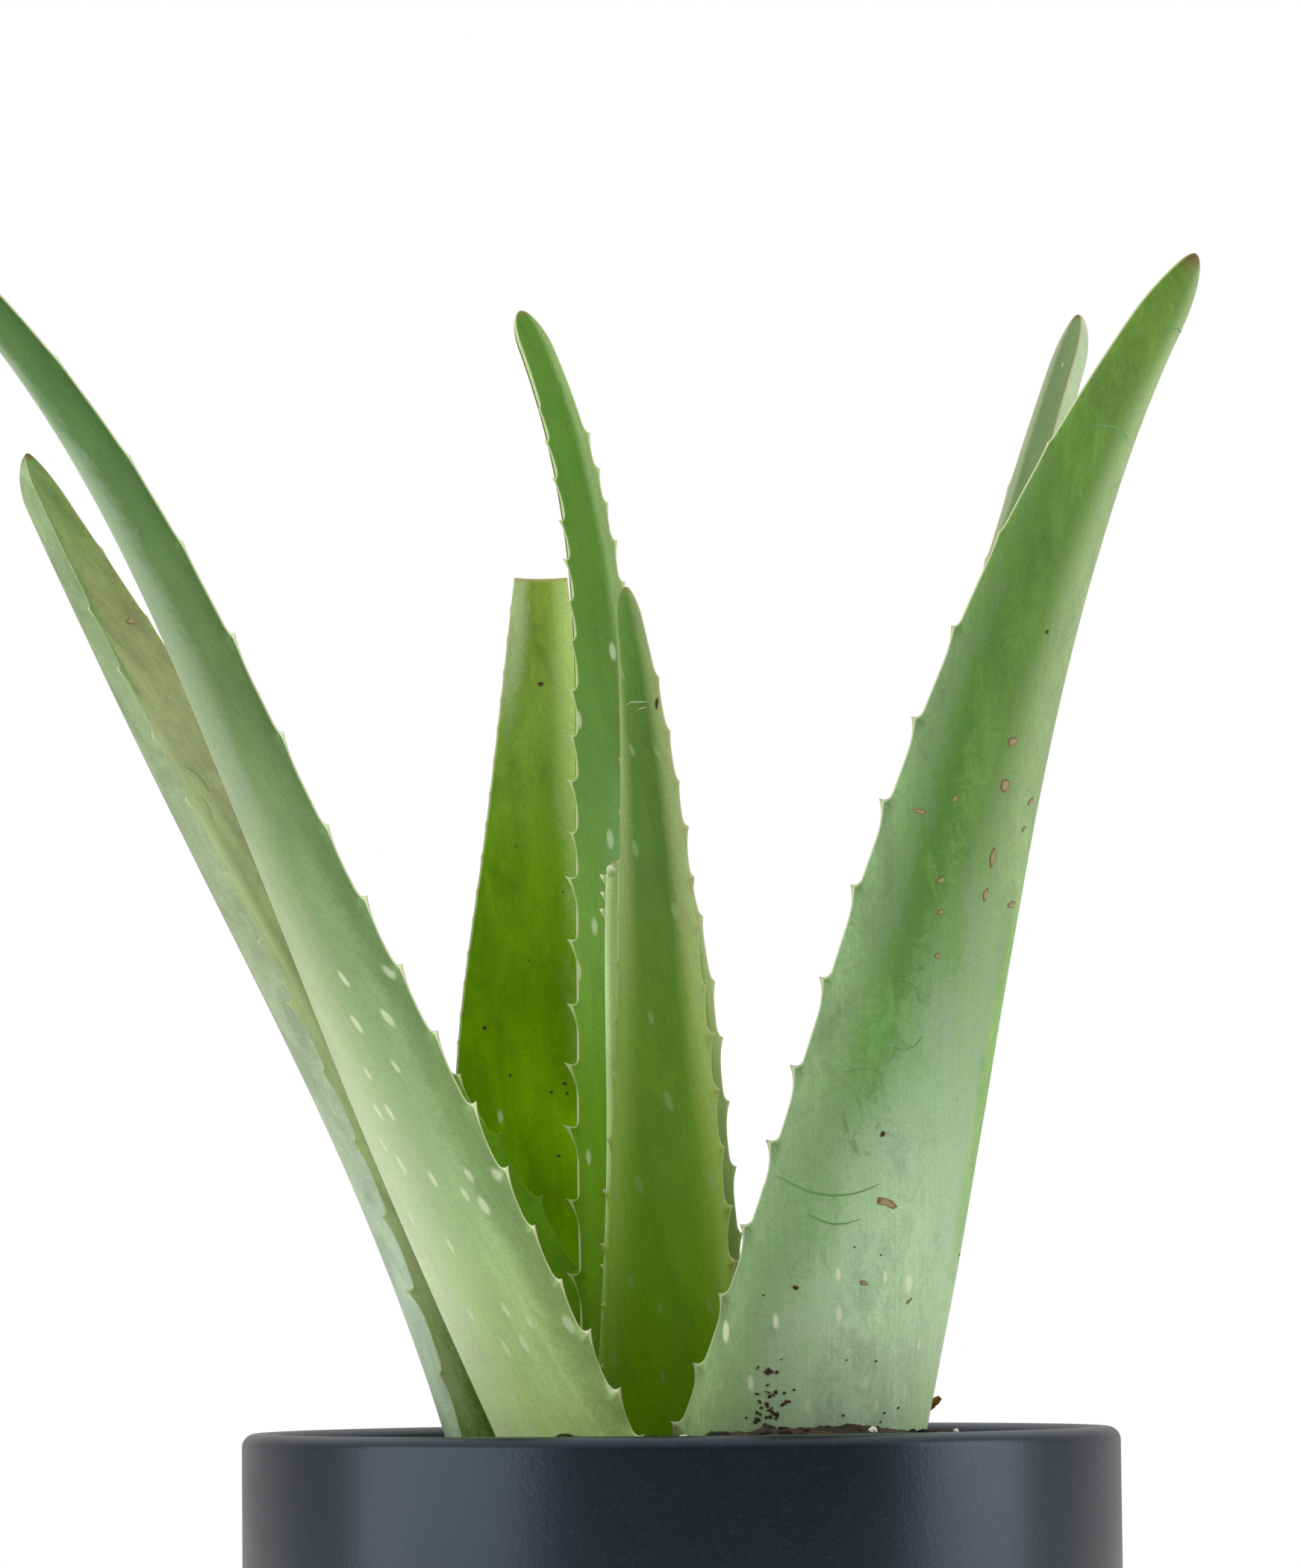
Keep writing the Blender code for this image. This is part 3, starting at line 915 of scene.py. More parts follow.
# The pale inner wash on the right half of the hollow face is painted light, where that half of the channel
# turns to the light. The other half keeps the darker green.
CUT_SKIN = LeafSkin(
    outer=("#5b7c2a", "#6d9440", "#7a9a50"),
    inner=("#74a600", "#74a600", "#70a000", "#5a8600", "#628c14", "#72963a", "#7c953a"),
    inner_washes=(Wash(("#86b21c", "#a4c868", "#acc474"), -1.0, 0.8, 0.75, 0.6, 0.9, 0.5),
                  Wash(("#a4b478", "#b8c89c"), 0.9, 0.97, 0.5, 0.16, 0.6, 0.8)), shine=0.05,
    margin="#b6bd8a", margin_mm=0.3, flecks=0.1, fleck_span=(1.2, 1.0), tip="#a3936a",
    tip_mm=0.8, mottling=0.24, scuffing=0.07)

# The dark outer colours are painted shade on the thin strip of back face beside the margins. The outer wash
# at the margin at across -1 is painted light lifting that strip where it lies in shade.
TALL_SKIN = LeafSkin(
    outer=("#46660a", "#486a20", "#4c6c28"),
    outer_washes=(Wash(("#86a860", "#8aac6c"), -1.0, 0.7, 0.6, 0.7, 0.9, 0.3),),
    inner=("#547a04", "#68960a", "#6a9a14", "#749e42", "#668f42", "#5c8532", "#578230", "#57802e"),
    inner_washes=(Wash(("#9ab67c", "#96b272"), -0.95, 0.8, 0.5, 0.6, 0.8, 0.4),
                  Wash(("#86ac7c", "#86ac80"), -0.3, 0.48, 0.6, 0.1, 0.5, 1.0)), shine=0.06,
    margin="#c4cf9c",
    flecks=0.1, fleck_span=(1.3, 1.1), margin_mm=0.12, margin_over_back_shade=0.5, tip="#7d7a48")

# The two pale outer washes at the margins are painted sheen, where the side soft boxes light the leaf's
# flanks. This leaves the middle darker.
CENTRE_FRONT_SKIN = LeafSkin(
    outer=("#7aaa04", "#74a416", "#6a9428", "#618a26", "#567a30", "#567b2e", "#5d853b"),
    inner=("#426201", "#5a8030", "#6b8f40"),
    outer_washes=(
        Wash(("#7a9f10", "#98bd48", "#88a44a", "#98ac6c", "#a4b87a"), -1.15, 0.6, 0.85, 0.9, 0.9, 0.3),
        Wash(("#88a43c", "#94ae4c", "#a4b478", "#8a9f68"), 1.1, 0.6, 0.5, 0.8, 0.9, 0.3),),
    shine=0.15,
    flecks=0.5, fleck_span=(1.1, 0.9), fleck="#8faa70", margin="#b5ad83", margin_mm=0.25,
    tip="#7d7a48")

# The whitish outer wash along the middle of the back is a painted highlight on the lit edge. The greener
# wash towards the margin is painted shade beside it.
YOUNG_SKIN = LeafSkin(
    outer=("#729a0c", "#88ad2a", "#b4ce7e", "#c0dc94", "#b0ca88"),
    inner=("#5d8320", "#7ea04b", "#8dae5d", "#84a554"),
    outer_washes=(Wash(("#8fb46a", "#cfe4b0", "#d8ecc0"), 0.1, 0.6, 0.45, 0.9, 0.8, 0.1),
                  Wash(("#6f9a30", "#78a444", "#80a850"), 0.95, 0.6, 0.3, 0.9, 0.45, 0.1)),
    flecks=0.0, margin="#c9d6a4")

# The pale inner wash at the right margin is a painted highlight along the lit edge.
CENTRE_BACK_SKIN = LeafSkin(
    outer=("#4a6a14", "#6c883b", "#84964f"),
    inner=("#54800a", "#729c28", "#849f3c", "#98b05c", "#9cae5a"),
    inner_washes=(Wash(("#a4c060", "#c4d4a0"), -0.9, 0.6, 0.35, 0.7, 0.85, 0.3),),
    flecks=0.1, shine=0.15)

LEAVES = (
    Leaf("leaf_centre_front", 256, 6.2, 137, (1, 3, 6, 14), (-99, -113, -128), (0, 2),
         (22.5, 19.5, 15, 10.5, 3.5), (6.5, 2.2), (1.2, 0.3), 5, CENTRE_FRONT_SKIN, Slot.MID,
         seed=3, tooth=1.3, tooth_pitch=10, pitch_growth=-0.02, tooth_width=6.0,
         marks=(Mark(MarkKind.SCAR, 0.20, 118.4, 4.0, 0.35, 2.0, 0.3),
                Mark(MarkKind.SCAR, 0.42, 117.6, 1.6, 0.3, 12.0, 0.1),
                Mark(MarkKind.SPECK, 0.93, 118.2, 0.3, 1.8, -8.0))),
    Leaf("leaf_young", 177.5, 11.5, 94, (-4, -2.6, 0.6, -2), (180, 180, 180), (0, 0),
         (6, 5.5, 5, 4, 3), (2.5, 2.2), (0.3, 0.1), 3, YOUNG_SKIN, Slot.MID,
         seed=4, tooth=0.0, tooth_pitch=12,
         marks=(Mark(MarkKind.HOOK, 0.7, 91.9, 1.1, 1.1), Mark(MarkKind.HOOK, 0.0, 90.6, 1.0, 1.0),
                Mark(MarkKind.HOOK, 0.0, 88.0, 0.8, 0.9), Mark(MarkKind.HOOK, 0.0, 85.2, 0.9, 1.0),
                Mark(MarkKind.HOOK, 0.05, 40.5, 0.5, 0.6), Mark(MarkKind.HOOK, 0.05, 28.5, 0.5, 0.6))),
    Leaf("leaf_centre_tall", 135, 9.2, 190, (4, 4, 6, 28), (112, 127, 144), (1, -6),
         (20, 18.5, 15, 10, 7.5), (6, 2.3), (1.5, 0.3), 7, TALL_SKIN, Slot.MID,
         seed=5, tooth=2.7, tooth_pitch=11.8, pitch_growth=-0.035, first_tooth=5, tooth_width=5.2),
    Leaf("leaf_centre_back", 77.7, 16.4, 101, (-4, 3, 10, 19), (53, 88, 122), (-3, 0),
         (12, 14, 9, 5.5, 1.5), (5, 1.8), (1, 0.2), 5, CENTRE_BACK_SKIN, Slot.DEEP,
         seed=6, tooth=1.3, tooth_pitch=10),
    Leaf("leaf_front_left", 225, 22.6, 220, (28, 26, 27, 47), (-154, -159, -168), (4, 11),
         (39, 34, 23, 17, 8.5), (8, 2.5), (2.5, 0.5), 12, FRONT_LEFT_SKIN, Slot.PALE,
         seed=7, tooth=3.0, tooth_pitch=9, pitch_growth=0.05, first_tooth=0, tooth_width=7.0,
         tooth_fade=0.95),
    Leaf("leaf_front_right", 320, 23.4, 202, (27, 23, 28, 42), (-55, -53, -41), (-3, 3),
         (45.5, 37.5, 29.5, 21, 9), (12, 3), (3, 0.5), 12, FRONT_RIGHT_SKIN, Slot.PALE,
         seed=8, tooth=2.5, tooth_pitch=11, pitch_growth=0.04, first_tooth=3, tooth_width=5.2,
         tooth_fade=0.9, tooth_sides=(1.0, 0.4),
         marks=(
             Mark(MarkKind.SCAB, 0.04, 121, 2.6, 1.5, 10), Mark(MarkKind.SCAB, 0.10, 114, 2.0, 2.2),
             Mark(MarkKind.SCAB, -0.50, 111, 1.0, 1.3), Mark(MarkKind.SCAB, 0.18, 102, 1.2, 3.0, 5),
             Mark(MarkKind.SCAB, 0.20, 96, 1.3, 1.9), Mark(MarkKind.SCAB, -0.39, 98, 1.6, 0.9, 20),
             Mark(MarkKind.SCAB, -0.30, 93, 1.1, 0.8), Mark(MarkKind.SCAB, 0.63, 111, 1.8, 1.0, 30),
             Mark(MarkKind.SCAB, 0.60, 106.5, 1.2, 0.7, 40), Mark(MarkKind.SCAB, 0.66, 94, 2.2, 1.4),
             Mark(MarkKind.SCAB, -0.21, 86, 1.1, 0.8), Mark(MarkKind.SCAB, -0.14, 46, 4.2, 1.3, -14),
             Mark(MarkKind.SCAB, -0.17, 33, 1.6, 0.8, -20), Mark(MarkKind.SCAB, 0.30, 30, 1.4, 0.6, 40),
             Mark(MarkKind.SCAB, -0.80, 108, 2.0, 0.7, 10),
             Mark(MarkKind.SPECK, -0.33, 57, 1.0, 1.0), Mark(MarkKind.SPECK, -0.69, 31, 0.9, 0.7),
             Mark(MarkKind.SPECK, -0.70, 17, 1.3, 1.2), Mark(MarkKind.SPECK, 0.07, 139, 0.7, 0.6),
             Mark(MarkKind.SCRATCH, -0.62, 48, 14.0, 0.4, 8.0, -1.6),
             Mark(MarkKind.SCRATCH, -0.55, 43, 8.0, 0.3, 2.0, -1.0),
             Mark(MarkKind.SCRATCH, -0.25, 172, 9.0, 0.4, -6.0, 1.2),
             Mark(MarkKind.SCRATCH, 0.30, 190, 5.0, 0.3, -10.0, 0.6),
             Mark(MarkKind.SCRATCH, -0.45, 80, 6.0, 0.35, -30.0, 1.5),
             Mark(MarkKind.SCRATCH, -0.30, 72, 5.0, 0.3, 25.0, -1.2),
             Mark(MarkKind.SCRATCH, -0.60, 66, 6.0, 0.3, 5.0, 1.0)),
         spatters=(Spatter(-0.60, 10.5, 0.16, 7.0, 46), Spatter(-0.2, 4.0, 0.5, 2.0, 70),
                   Spatter(-0.1, 25.0, 0.9, 30.0, 14, (0.25, 0.5)))),
    Leaf("leaf_back_left", 150.5, 21.3, 203, (28, 34, 34, 34), (135, 150, 147), (-12, -6),
         (38, 31, 23.5, 16, 5), (17, 5), (4, 0.5), 9, BACK_LEFT_SKIN, Slot.PALE,
         seed=9, tooth=1.9, tooth_pitch=13.5, plain_margin=60, marks_inside=True,
         marks=(Mark(MarkKind.SCAB, -0.48, 167, 1.9, 1.5), Mark(MarkKind.SCRATCH, 0.3, 134, 6, 0.4, 60, 1.5),
                Mark(MarkKind.SCRATCH, 0.5, 128, 5, 0.3, 100, 1.0))),
    Leaf("leaf_back_right", 39.8, 23.4, 196, (17, 16, 16, 21), (33, 27, 24), (-1, 0),
         (35, 28, 20.5, 13.5, 8.5), (11.5, 3.5), (3, 0.5), 9, BACK_RIGHT_SKIN, Slot.PALE,
         seed=10, tooth=1.4, tooth_pitch=12, marks_inside=True,
         marks=(Mark(MarkKind.SCAR, 0.15, 187, 1.0, 0.7, 80.0, 0.2),)),
    Leaf("leaf_cut", 118, 39.6, 152, (17, 14, 13, 14), (106, 95, 89), (-1, 1),
         (40.5, 35, 28, 17.5, 9), (9, 4), (2.5, 0.6), 0, CUT_SKIN, Slot.DEEP,
         seed=11, tooth=0.16, tooth_pitch=5.5, tooth_width=2.6, tooth_fade=0.2, toothed_share=0.98,
         marks_inside=True,
         marks=(Mark(MarkKind.SPECK, 0.01, 133, 1.1, 1.0), Mark(MarkKind.SPECK, -0.55, 72, 1.5, 1.4),
                Mark(MarkKind.SPECK, -0.2, 62.5, 1.0, 0.5, 20), Mark(MarkKind.SPECK, -0.22, 60.8, 0.7, 0.5),
                Mark(MarkKind.SPECK, 0.52, 46, 0.9, 1.3, 20), Mark(MarkKind.SPECK, 0.2, 84, 0.4, 0.4),
                Mark(MarkKind.SPECK, -0.3, 96, 0.4, 0.3), Mark(MarkKind.SPECK, 0.45, 104, 0.3, 0.4),
                Mark(MarkKind.SPECK, 0.71, 72, 0.8, 0.7), Mark(MarkKind.SPECK, 0.40, 64, 0.6, 0.6),
                Mark(MarkKind.SPECK, -0.05, 61, 0.7, 0.5), Mark(MarkKind.SPECK, -0.1, 50, 0.6, 0.5))),
)


@dataclass(frozen=True)
class SatinGlaze:
    """Dark charcoal stoneware glaze, fired to a satin: soft wide reflections and a fine speckle."""

    body: str = "#06080c"
    speckle: str = "#131722"
    roughness: float = 0.3

    def material(self) -> bpy.types.Material:
        """Make the glaze's material."""
        paint = Paint("charcoal_satin_glaze")
        place = paint.place()
        speckle = paint.noise(place, 0.7 * MM, 2.0)
        pooling = paint.noise(place, 25 * MM, 3.0)
        return paint.finish(paint.mix(paint.step(speckle, 0.56, 0.7), self.body, self.speckle),
                            paint.span(pooling, self.roughness - 0.03, self.roughness + 0.04),
                            paint.bump(speckle, 0.03), IOR=1.5,
                            Specular_Tint=linear("#d8e8ff"))


@dataclass
class Pot:
    """Thrown cylinder pot with a rounded rim, a small foot radius and a flat base."""

    radius: float = 70.0
    height: float = 125.0
    wall: float = 5.0
    floor: float = 6.0
    rim_radius: float = 2.2
    foot_radius: float = 1.5
    inner_fillet: float = 4.0
    steps: int = 192
    glaze: SatinGlaze = SatinGlaze()

    def profile(self) -> list[tuple[float, float]]:
        """Wall profile from the underside's centre, over the rim, to the inner floor's centre."""

        def corner(r: float, z: float, size: float, start: int, stop: int,
                   count: int) -> list[tuple[float, float]]:
            """Points of a rounded corner between two angles."""
            turn = [math.radians(start + (stop - start) * i / count) for i in range(count + 1)]
            return [(r + size * math.cos(a), z + size * math.sin(a)) for a in turn]

        bore = self.radius - self.wall
        points = [(0.0, 0.0), (self.radius * 0.5, 0.0)]
        points += corner(self.radius - self.foot_radius, self.foot_radius, self.foot_radius,
                         -90, 0, 6)
        points += [(self.radius, self.height * share) for share in (0.25, 0.5, 0.75)]
        points += corner(self.radius - self.rim_radius, self.height - self.rim_radius,
                         self.rim_radius, 0, 90, 10)
        points += corner(bore + self.rim_radius, self.height - self.rim_radius,
                         self.rim_radius, 90, 180, 10)
        points += [(bore, self.height * 0.5)]
        points += corner(bore - self.inner_fillet, self.floor + self.inner_fillet,
                         self.inner_fillet, 0, -90, 6)
        return points + [(0.0, self.floor)]

    def build(self) -> None:
        """Turn the profile and glaze it."""
        profile = self.profile()
        angles = np.linspace(0, 2 * math.pi, self.steps, endpoint=False)
        circle = np.stack([np.cos(angles), np.sin(angles)], 1)
        rings = [np.hstack([circle * r, np.full((self.steps, 1), z)]) for r, z in profile[1:-1]]
        ends = [np.array([[0.0, 0.0, z]]) for _, z in (profile[0], profile[-1])]
        faces = join_rings(len(rings), self.steps, 1)
        last = 1 + len(rings) * self.steps
        for k in range(self.steps):
            after = (k + 1) % self.steps
            faces += [[0, 1 + after, 1 + k], [last - self.steps + k, last - self.steps + after, last]]
        Shape(np.vstack([ends[0], *rings, ends[1]]), faces, {}).make(
            "pot", self.glaze.material(), "pot")


@dataclass(frozen=True)
class Earth:
    """Moist peat potting soil: near-black crumbs with brown fibres and damp dark hollows."""

    dark: str = "#1d140c"
    brown: str = "#4a3520"
    pale: str = "#7a6142"
    grain_mm: float = 2.2

    def material(self, name: str) -> bpy.types.Material:
        """Make the soil's material.

        Args:
            name: the material's name.

        Returns:
            The material.
        """
        paint = Paint(name)
        place = paint.place()
        crumbs = paint.add("ShaderNodeTexVoronoi", {},
                           {"Vector": place, "Scale": 1 / (self.grain_mm * MM)})
        dust = paint.noise(place, 0.9 * MM, 5.0)
        patch = paint.noise(place, 14 * MM, 3.0)
        colour = paint.mix(paint.step(crumbs.outputs["Distance"], 0.15, 0.6, 0.7),
                           self.dark, self.brown)
        colour = paint.mix(paint.step(dust, 0.6, 0.75, 0.7), colour, self.pale)
        colour = paint.mix(paint.step(patch, 0.6, 0.45, 0.7), colour, self.dark)
        return paint.finish(colour, 0.92, paint.bump(dust, 0.5))


@dataclass(frozen=True)
class Perlite:
    """Expanded volcanic glass: chalk-white pitted beads, dusted with soil."""

    white: str = "#e6e2d6"
    dusted: str = "#a2937a"

    def material(self) -> bpy.types.Material:
        """Make the beads' material."""
        paint = Paint("perlite")
        pits = paint.noise(paint.place(), 0.8 * MM, 4.0)
        return paint.finish(paint.mix(paint.step(pits, 0.5, 0.75), self.white, self.dusted),
                            0.85, paint.bump(pits, 0.2))


@dataclass(frozen=True)
class Lumps:
    """Loose lumps strewn over the soil: how many, how large and how flat."""

    name: str
    count: int
    sizes: tuple[float, float]
    squash: float
    stretch: float
    seed: int


@dataclass
class Soil:
    """Soil in the pot, heaped against the leaves' feet, with loose crumbs and perlite on it."""

    radius: float = 64.6
    top: float = 122.4
    bottom: float = 100.0
    rings: int = 110
    steps: int = 260
    heaps: tuple[tuple[float, float, float, float], ...] = (
        (14.0, -38.0, 2.6, 12.0), (30.0, -28.0, 2.6, 12.0), (-6.0, -36.0, 1.2, 10.0),
        (0.0, 0.0, 1.0, 26.0), (40.0, -8.0, 2.0, 9.0), (-26.0, -24.0, 1.2, 12.0))
    crumbs: Lumps = Lumps("soil_crumbs", 520, (0.4, 1.7), 0.55, 1.4, 15)
    fibres: Lumps = Lumps("soil_fibres", 90, (0.25, 0.5), 0.8, 7.0, 25)
    beads: Lumps = Lumps("perlite_beads", 46, (0.5, 1.3), 0.8, 1.1, 35)
    scrap_foot: tuple[float, float, float] = (38.4, -5.6, 127.2)
    scrap_tip: tuple[float, float, float] = (41.2, -6.4, 129.8)
    scrap_breadth: float = 1.4

    def height(self, x: float, y: float) -> float:
        """Height of the soil's surface.

        Args:
            x: place across, in millimetres.
            y: place in depth, in millimetres.

        Returns:
            Height in millimetres above the pot's underside.
        """
        z = self.top
        for hx, hy, rise, spread in self.heaps:
            z += rise * math.exp(-((x - hx) ** 2 + (y - hy) ** 2) / spread ** 2)
        z += 0.7 * noise.noise(Vector((x * 0.09, y * 0.09, 3.0)))
        z += 0.5 * noise.noise(Vector((x * 0.35, y * 0.35, 9.0)))
        z += 0.4 * noise.noise(Vector((x * 0.9, y * 0.9, 1.0)))
        edge = max(0.0, (math.hypot(x, y) - 50.0) / 14.6)
        return z - 0.9 * edge

    def build(self) -> None:
        """Build the surface, the crumbs, the fibres and the perlite beads."""
        angles = np.linspace(0, 2 * math.pi, self.steps, endpoint=False)
        points = [[0.0, 0.0, self.height(0, 0)]]
        for radius in np.linspace(0.6, self.radius, self.rings):
            for angle in angles:
                x, y = radius * math.cos(angle), radius * math.sin(angle)
                points.append([x, y, self.height(x, y)])
        points += [[self.radius * math.cos(a), self.radius * math.sin(a), self.bottom]
                   for a in angles]
        points.append([0.0, 0.0, self.bottom])
        rows = self.rings + 1
        faces = [face[::-1] for face in join_rings(rows, self.steps, 1)]
        last = 1 + rows * self.steps
        for k in range(self.steps):
            after = (k + 1) % self.steps
            faces += [[0, 1 + k, 1 + after], [last - self.steps + after, last - self.steps + k, last]]
        Shape(np.array(points), faces, {}).make("soil", Earth().material("potting_soil"),
                                                "soil")
        loose = Earth(dark="#1a120b", brown="#3d2b1a", pale="#6b5338", grain_mm=1.0)
        bark = Earth(dark="#3a2a1a", brown="#6b4f33", pale="#96784f", grain_mm=1.0)
        self.strew(self.crumbs, loose.material("loose_soil"))
        self.strew(self.fibres, bark.material("bark_fibre"))
        self.strew(self.beads, Perlite().material())
        dry = Earth(dark="#8a4c28", brown="#a8683c", pale="#c08a5c", grain_mm=1.0)
        self.hang_scrap(dry.material("dried_skin"))

    def hang_scrap(self, material: bpy.types.Material) -> None:
        """Hang a curled scrap of dry skin on the widest leaf's margin, just above the soil.

        Args:
            material: its finish.
        """
        rows, columns = 14, 6
        foot, tip = (np.array(end) for end in (self.scrap_foot, self.scrap_tip))
        wide, out = np.array([-0.62, 0.2, 0.76]), np.array([0.0, 1.0, 0.2])
        points = []
        for side in (-1, 1):
            for row in range(rows + 1):
                t = row / rows
                breadth = self.scrap_breadth * (0.45 + 0.55 * math.sin(math.pi * (0.1 + 0.85 * t)))
                breadth *= 1 + 0.3 * noise.noise(Vector((t * 9, 2.0, 0.0)))
                for column in range(columns + 1):
                    f = column / columns - 0.5
                    curl = 0.1 * side + 1.4 * f * f + 0.5 * math.sin(t * 4)
                    points.append(foot + (tip - foot) * t + wide * f * breadth + out * curl)
        count, sheet = columns + 1, (rows + 1) * (columns + 1)
        faces = []
        for row in range(rows):
            for column in range(columns):
                a = row * count + column
                quad = [a, a + 1, a + count + 1, a + count]
                faces += [quad, [sheet + k for k in quad[::-1]]]
        rim = ([column for column in range(columns)] + [row * count + columns for row in range(rows)]
               + [rows * count + column for column in range(columns, 0, -1)]
               + [row * count for row in range(rows, 0, -1)])
        for a, b in zip(rim, rim[1:] + rim[:1]):
            faces.append([b, a, sheet + a, sheet + b])
        Shape(np.array(points), faces, {}).make("dried_scrap", material)

    def strew(self, lumps: Lumps, material: bpy.types.Material) -> None:
        """Strew lumps over the soil as one piece.

        Args:
            lumps: what to strew.
            material: their finish.
        """
        rng = random.Random(lumps.seed)
        ball = bmesh.new()
        bmesh.ops.create_icosphere(ball, subdivisions=2, radius=1.0)
        unit = [v.co.copy() for v in ball.verts]
        unit_faces = [[v.index for v in f.verts] for f in ball.faces]
        ball.free()
        points, faces = [], []
        for number in range(lumps.count):
            angle = rng.uniform(0, 2 * math.pi)
            radius = (self.radius - 1.8) * math.sqrt(rng.random())
            x, y = radius * math.cos(angle), radius * math.sin(angle)
            size = rng.uniform(*lumps.sizes) * rng.uniform(0.6, 1.0)
            offset = Vector((number * 7.3, lumps.seed * 5.1, 0.0))
            lump = np.array([p * (1 + 0.45 * noise.noise(p * 1.3 + offset)) for p in unit])
            long = rng.uniform(0.6, 1.0) * lumps.stretch
            lump *= size * np.array([min(long, 4.0 / size), rng.uniform(0.7, 1.2), lumps.squash])
            spin = rng.uniform(0, 2 * math.pi)
            c, s = math.cos(spin), math.sin(spin)
            lump = lump @ np.array([[c, s, 0], [-s, c, 0], [0, 0, 1]])
            reach = float(np.hypot(lump[:, 0] + x, lump[:, 1] + y).max())
            if reach > self.radius:
                continue
            lump += np.array([x, y, self.height(x, y) + size * lumps.squash * 0.35])
            faces += [[k + len(points) for k in face] for face in unit_faces]
            points += lump.tolist()
        Shape(np.array(points), faces, {}).make(lumps.name, material)


@dataclass(frozen=True)
class StemFlesh:
    """Pale fleshy stem tissue, damp and faintly fibrous, stained by the soil."""

    flesh: str = "#8f9a5c"
    stain: str = "#4d3c22"

    def material(self) -> bpy.types.Material:
        """Make the stem's material."""
        paint = Paint("stem_flesh")
        place = paint.place()
        stain = paint.noise(place, 4 * MM, 4.0)
        fibre = paint.noise(place, (0.8 * MM, 0.8 * MM, 6 * MM), 2.0)
        return paint.finish(paint.mix(stain, self.flesh, self.stain), 0.6, paint.bump(fibre, 0.2))


@dataclass
class Stem:
    """Short underground stem: a tapering disc that carries the leaves, ringed by old leaf scars."""

    top: float = 122.0
    depth: float = 16.0
    radius: float = 17.9
    foot_radius: float = 8.9
    rings: int = 40
    steps: int = 72

    def build(self) -> None:
        """Build the stem's rings and dress it."""
        points, angles = [], np.linspace(0, 2 * math.pi, self.steps, endpoint=False)
        for number in range(self.rings + 1):
            t = number / self.rings
            radius = self.foot_radius + (self.radius - self.foot_radius) * t
            radius -= 0.35 * (0.5 + 0.5 * math.cos(2 * math.pi * t * 6))
            z = self.top - self.depth * (1 - t)
            points += [[radius * math.cos(a), radius * math.sin(a), z] for a in angles]
        faces = join_rings(self.rings + 1, self.steps)
        count = len(points)
        points += [[0.0, 0.0, self.top - self.depth], [0.0, 0.0, self.top]]
        for k in range(self.steps):
            after = (k + 1) % self.steps
            faces += [[after, k, count], [count - self.steps + k, count - self.steps + after,
                                          count + 1]]
        Shape(np.array(points), faces, {}).make("stem", StemFlesh().material(), "stem")


@dataclass(frozen=True)
class SoftBox:
    """One soft box: where it hangs round the plant, how large and how bright it is."""

    name: str
    azimuth: float
    size: tuple[float, float]
    radiance: float
    height: float = 0.35
    away: float = 1.3

    def hang(self) -> None:
        """Hang the soft box so that it faces the plant."""
        data = bpy.data.lights.new(self.name, "AREA")
        data.shape = "RECTANGLE"
        data.size, data.size_y = self.size
        data.energy = self.radiance * math.pi * self.size[0] * self.size[1]
        angle = math.radians(self.azimuth)
        place = Vector((math.sin(angle) * self.away, -math.cos(angle) * self.away, self.height))
        item = bpy.data.objects.new(self.name, data)
        item.location = place
        item.rotation_mode = "QUATERNION"
        item.rotation_quaternion = (Vector((0, 0, 0.2)) - place).to_track_quat("-Z", "Y")
        bpy.context.scene.collection.objects.link(item)


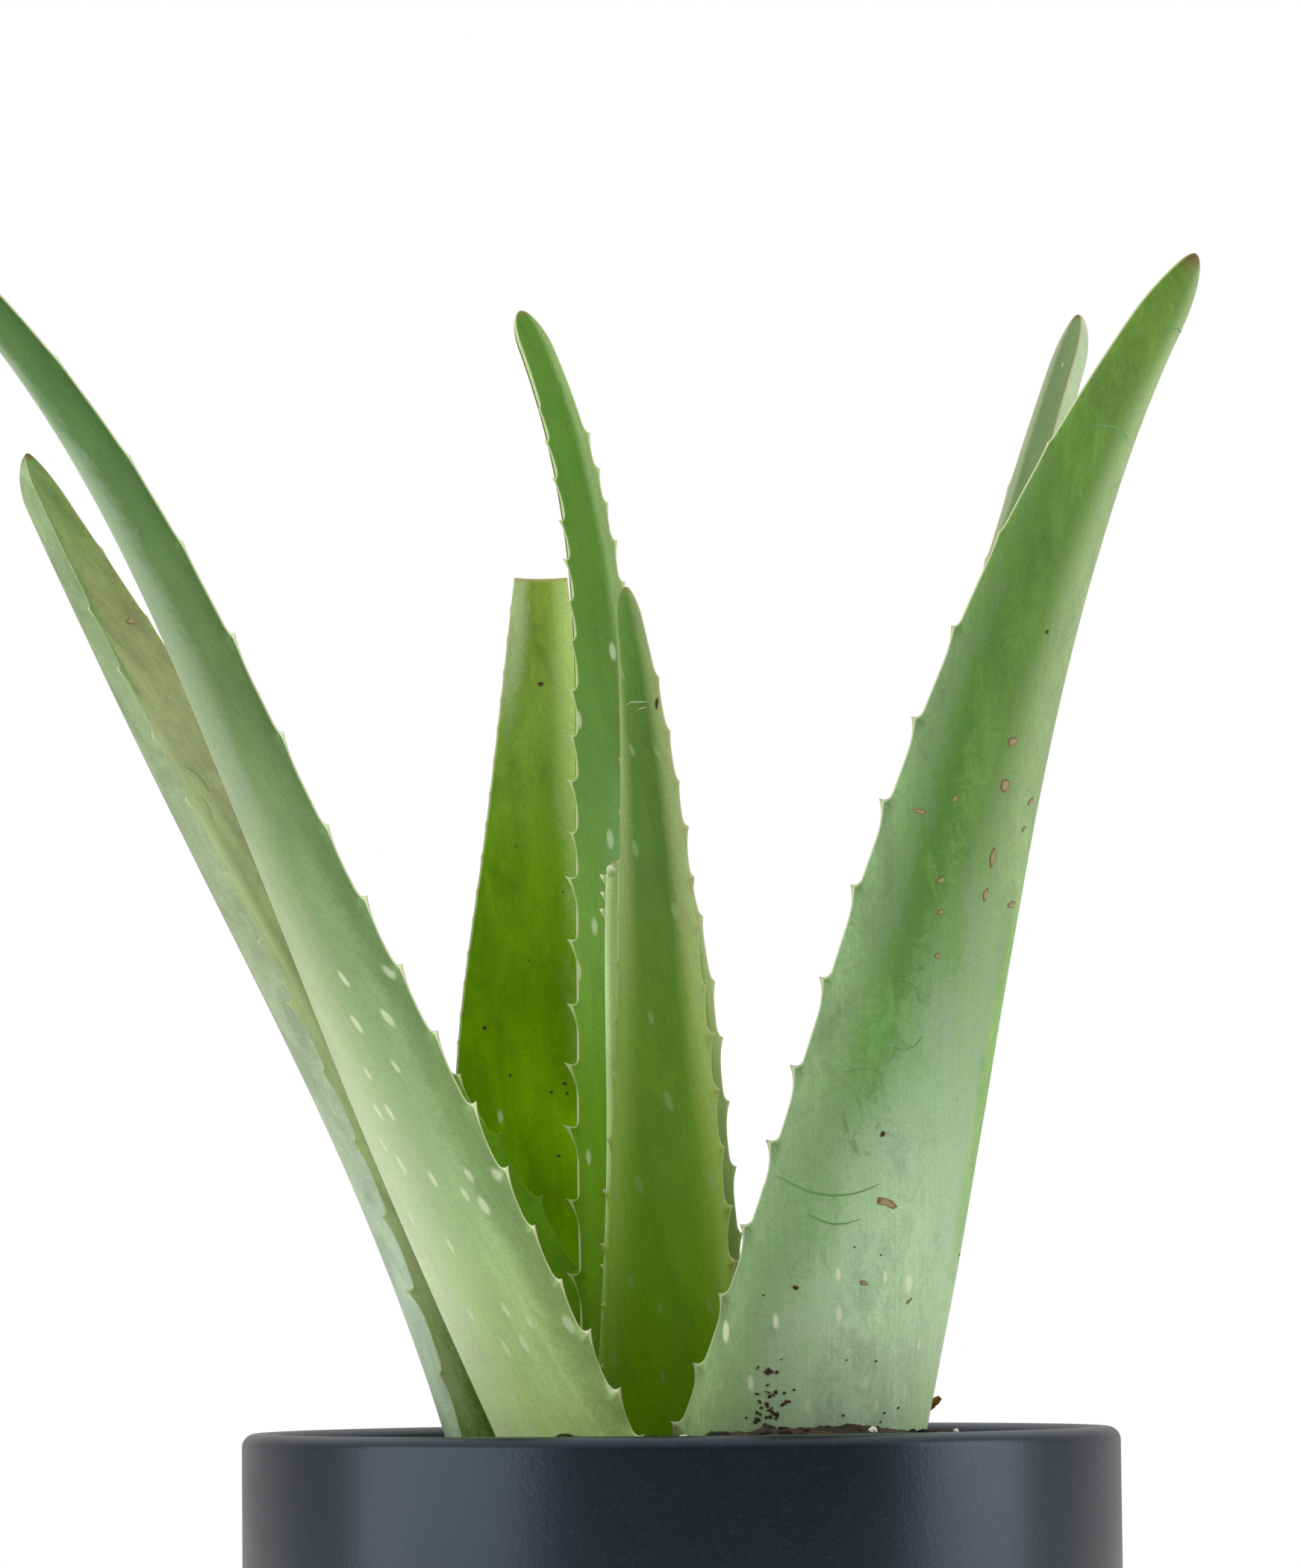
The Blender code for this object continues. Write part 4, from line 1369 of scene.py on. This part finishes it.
@dataclass
class Studio:
    """Pale floor, white surroundings and two soft boxes, one each side of the camera."""

    eye: tuple[float, float, float] = (0.0, -1100.0, 140.8)
    pitch: float = 4.55
    yaw: float = -0.204
    roll: float = 0.54
    focal_px: float = 9194.7
    frame_px: tuple[int, int] = (1743, 2100)
    boxes: tuple[SoftBox, ...] = (SoftBox("soft_box_left", -64.0, (1.3, 0.95), 2.7),
                                  SoftBox("soft_box_right", 80.0, (0.78, 0.95), 2.9))
    front: float = 0.26
    back: float = 0.55
    overhead: float = 0.95

    def camera(self) -> None:
        """Stand the camera almost level with the pot's rim."""
        data = bpy.data.cameras.new("camera")
        data.sensor_width = 36.0
        data.lens = self.focal_px * 36.0 / max(self.frame_px)
        data.clip_start, data.clip_end = 0.05, 20.0
        pitch, yaw, roll = (math.radians(a) for a in (self.pitch, self.yaw, self.roll))
        forward = Vector((math.sin(yaw) * math.cos(pitch), math.cos(yaw) * math.cos(pitch),
                          math.sin(pitch)))
        level = Vector((math.cos(yaw), -math.sin(yaw), 0.0))
        upright = level.cross(forward)
        right = level * math.cos(roll) - upright * math.sin(roll)
        up = level * math.sin(roll) + upright * math.cos(roll)
        turn = Matrix((right, up, -forward)).transposed().to_4x4()
        item = bpy.data.objects.new("camera", data)
        item.matrix_world = Matrix.Translation(Vector(self.eye) * MM) @ turn
        bpy.context.scene.collection.objects.link(item)
        bpy.context.scene.camera = item

    def surroundings(self) -> None:
        """White room that is dimmer behind the camera, seen as plain white."""
        world = bpy.data.worlds.new("white_room")
        bpy.context.scene.world = world
        world.use_nodes = True
        tree = world.node_tree
        back = tree.nodes["Background"]

        def add(kind: str, settings: dict[str, str], inputs: dict[int | str, object]) -> Socket:
            """Add a node to the world and return its first output."""
            node = tree.nodes.new(kind)
            for name, value in settings.items():
                setattr(node, name, value)
            for name, value in inputs.items():
                if isinstance(value, Socket):
                    tree.links.new(value, node.inputs[name])
                else:
                    node.inputs[name].default_value = value
            return node.outputs[0]

        way = tree.nodes.new("ShaderNodeTexCoord").outputs["Generated"]
        parts = tree.nodes.new("ShaderNodeSeparateXYZ")
        tree.links.new(way, parts.inputs[0])
        soft = {"interpolation_type": "SMOOTHSTEP"}
        depth = add("ShaderNodeMapRange", soft,
                    {"Value": parts.outputs[1], "From Min": -0.8, "From Max": 0.2,
                     "To Min": self.front, "To Max": self.back})
        lift = add("ShaderNodeMapRange", soft, {"Value": parts.outputs[2], "From Min": 0.3,
                                                "From Max": 0.9, "To Max": self.overhead})
        light = add("ShaderNodeMath", {"operation": "ADD"}, {0: depth, 1: lift})
        seen = tree.nodes.new("ShaderNodeLightPath").outputs["Is Camera Ray"]
        strength = add("ShaderNodeMix", {"data_type": "FLOAT"}, {0: seen, 2: light, 3: 1.0})
        tree.links.new(strength, back.inputs["Strength"])
        back.inputs["Color"].default_value = (1.0, 1.0, 1.0, 1.0)

    def floor(self) -> None:
        """Lay the pale floor that the pot stands on."""
        mesh = bpy.data.meshes.new("floor")
        ring = [(2.3 * math.cos(2 * math.pi * k / 96), 2.3 * math.sin(2 * math.pi * k / 96), 0.0)
                for k in range(96)]
        mesh.from_pydata(ring, [], [list(range(96))])
        paint = Paint("matt_white_floor")
        grain = paint.noise(paint.place(), 1.5 * MM, 2.0)
        mesh.materials.append(paint.finish("#f2f1ee", 0.8, paint.bump(grain, 0.02)))
        item = bpy.data.objects.new("floor", mesh)
        bpy.context.scene.collection.objects.link(item)

    def build(self) -> None:
        """Set up camera, lights, room and floor."""
        bpy.context.scene.view_settings.view_transform = "Standard"
        self.camera()
        for box in self.boxes:
            box.hang()
        self.surroundings()
        self.floor()


def main() -> None:
    """Build the potted aloe and its studio."""
    logging.basicConfig(level=logging.INFO, format="%(name)s %(message)s")
    Studio().build()
    Pot().build()
    Soil().build()
    Stem().build()
    for leaf in LEAVES:
        leaf.build()


if __name__ == "__main__":
    main()
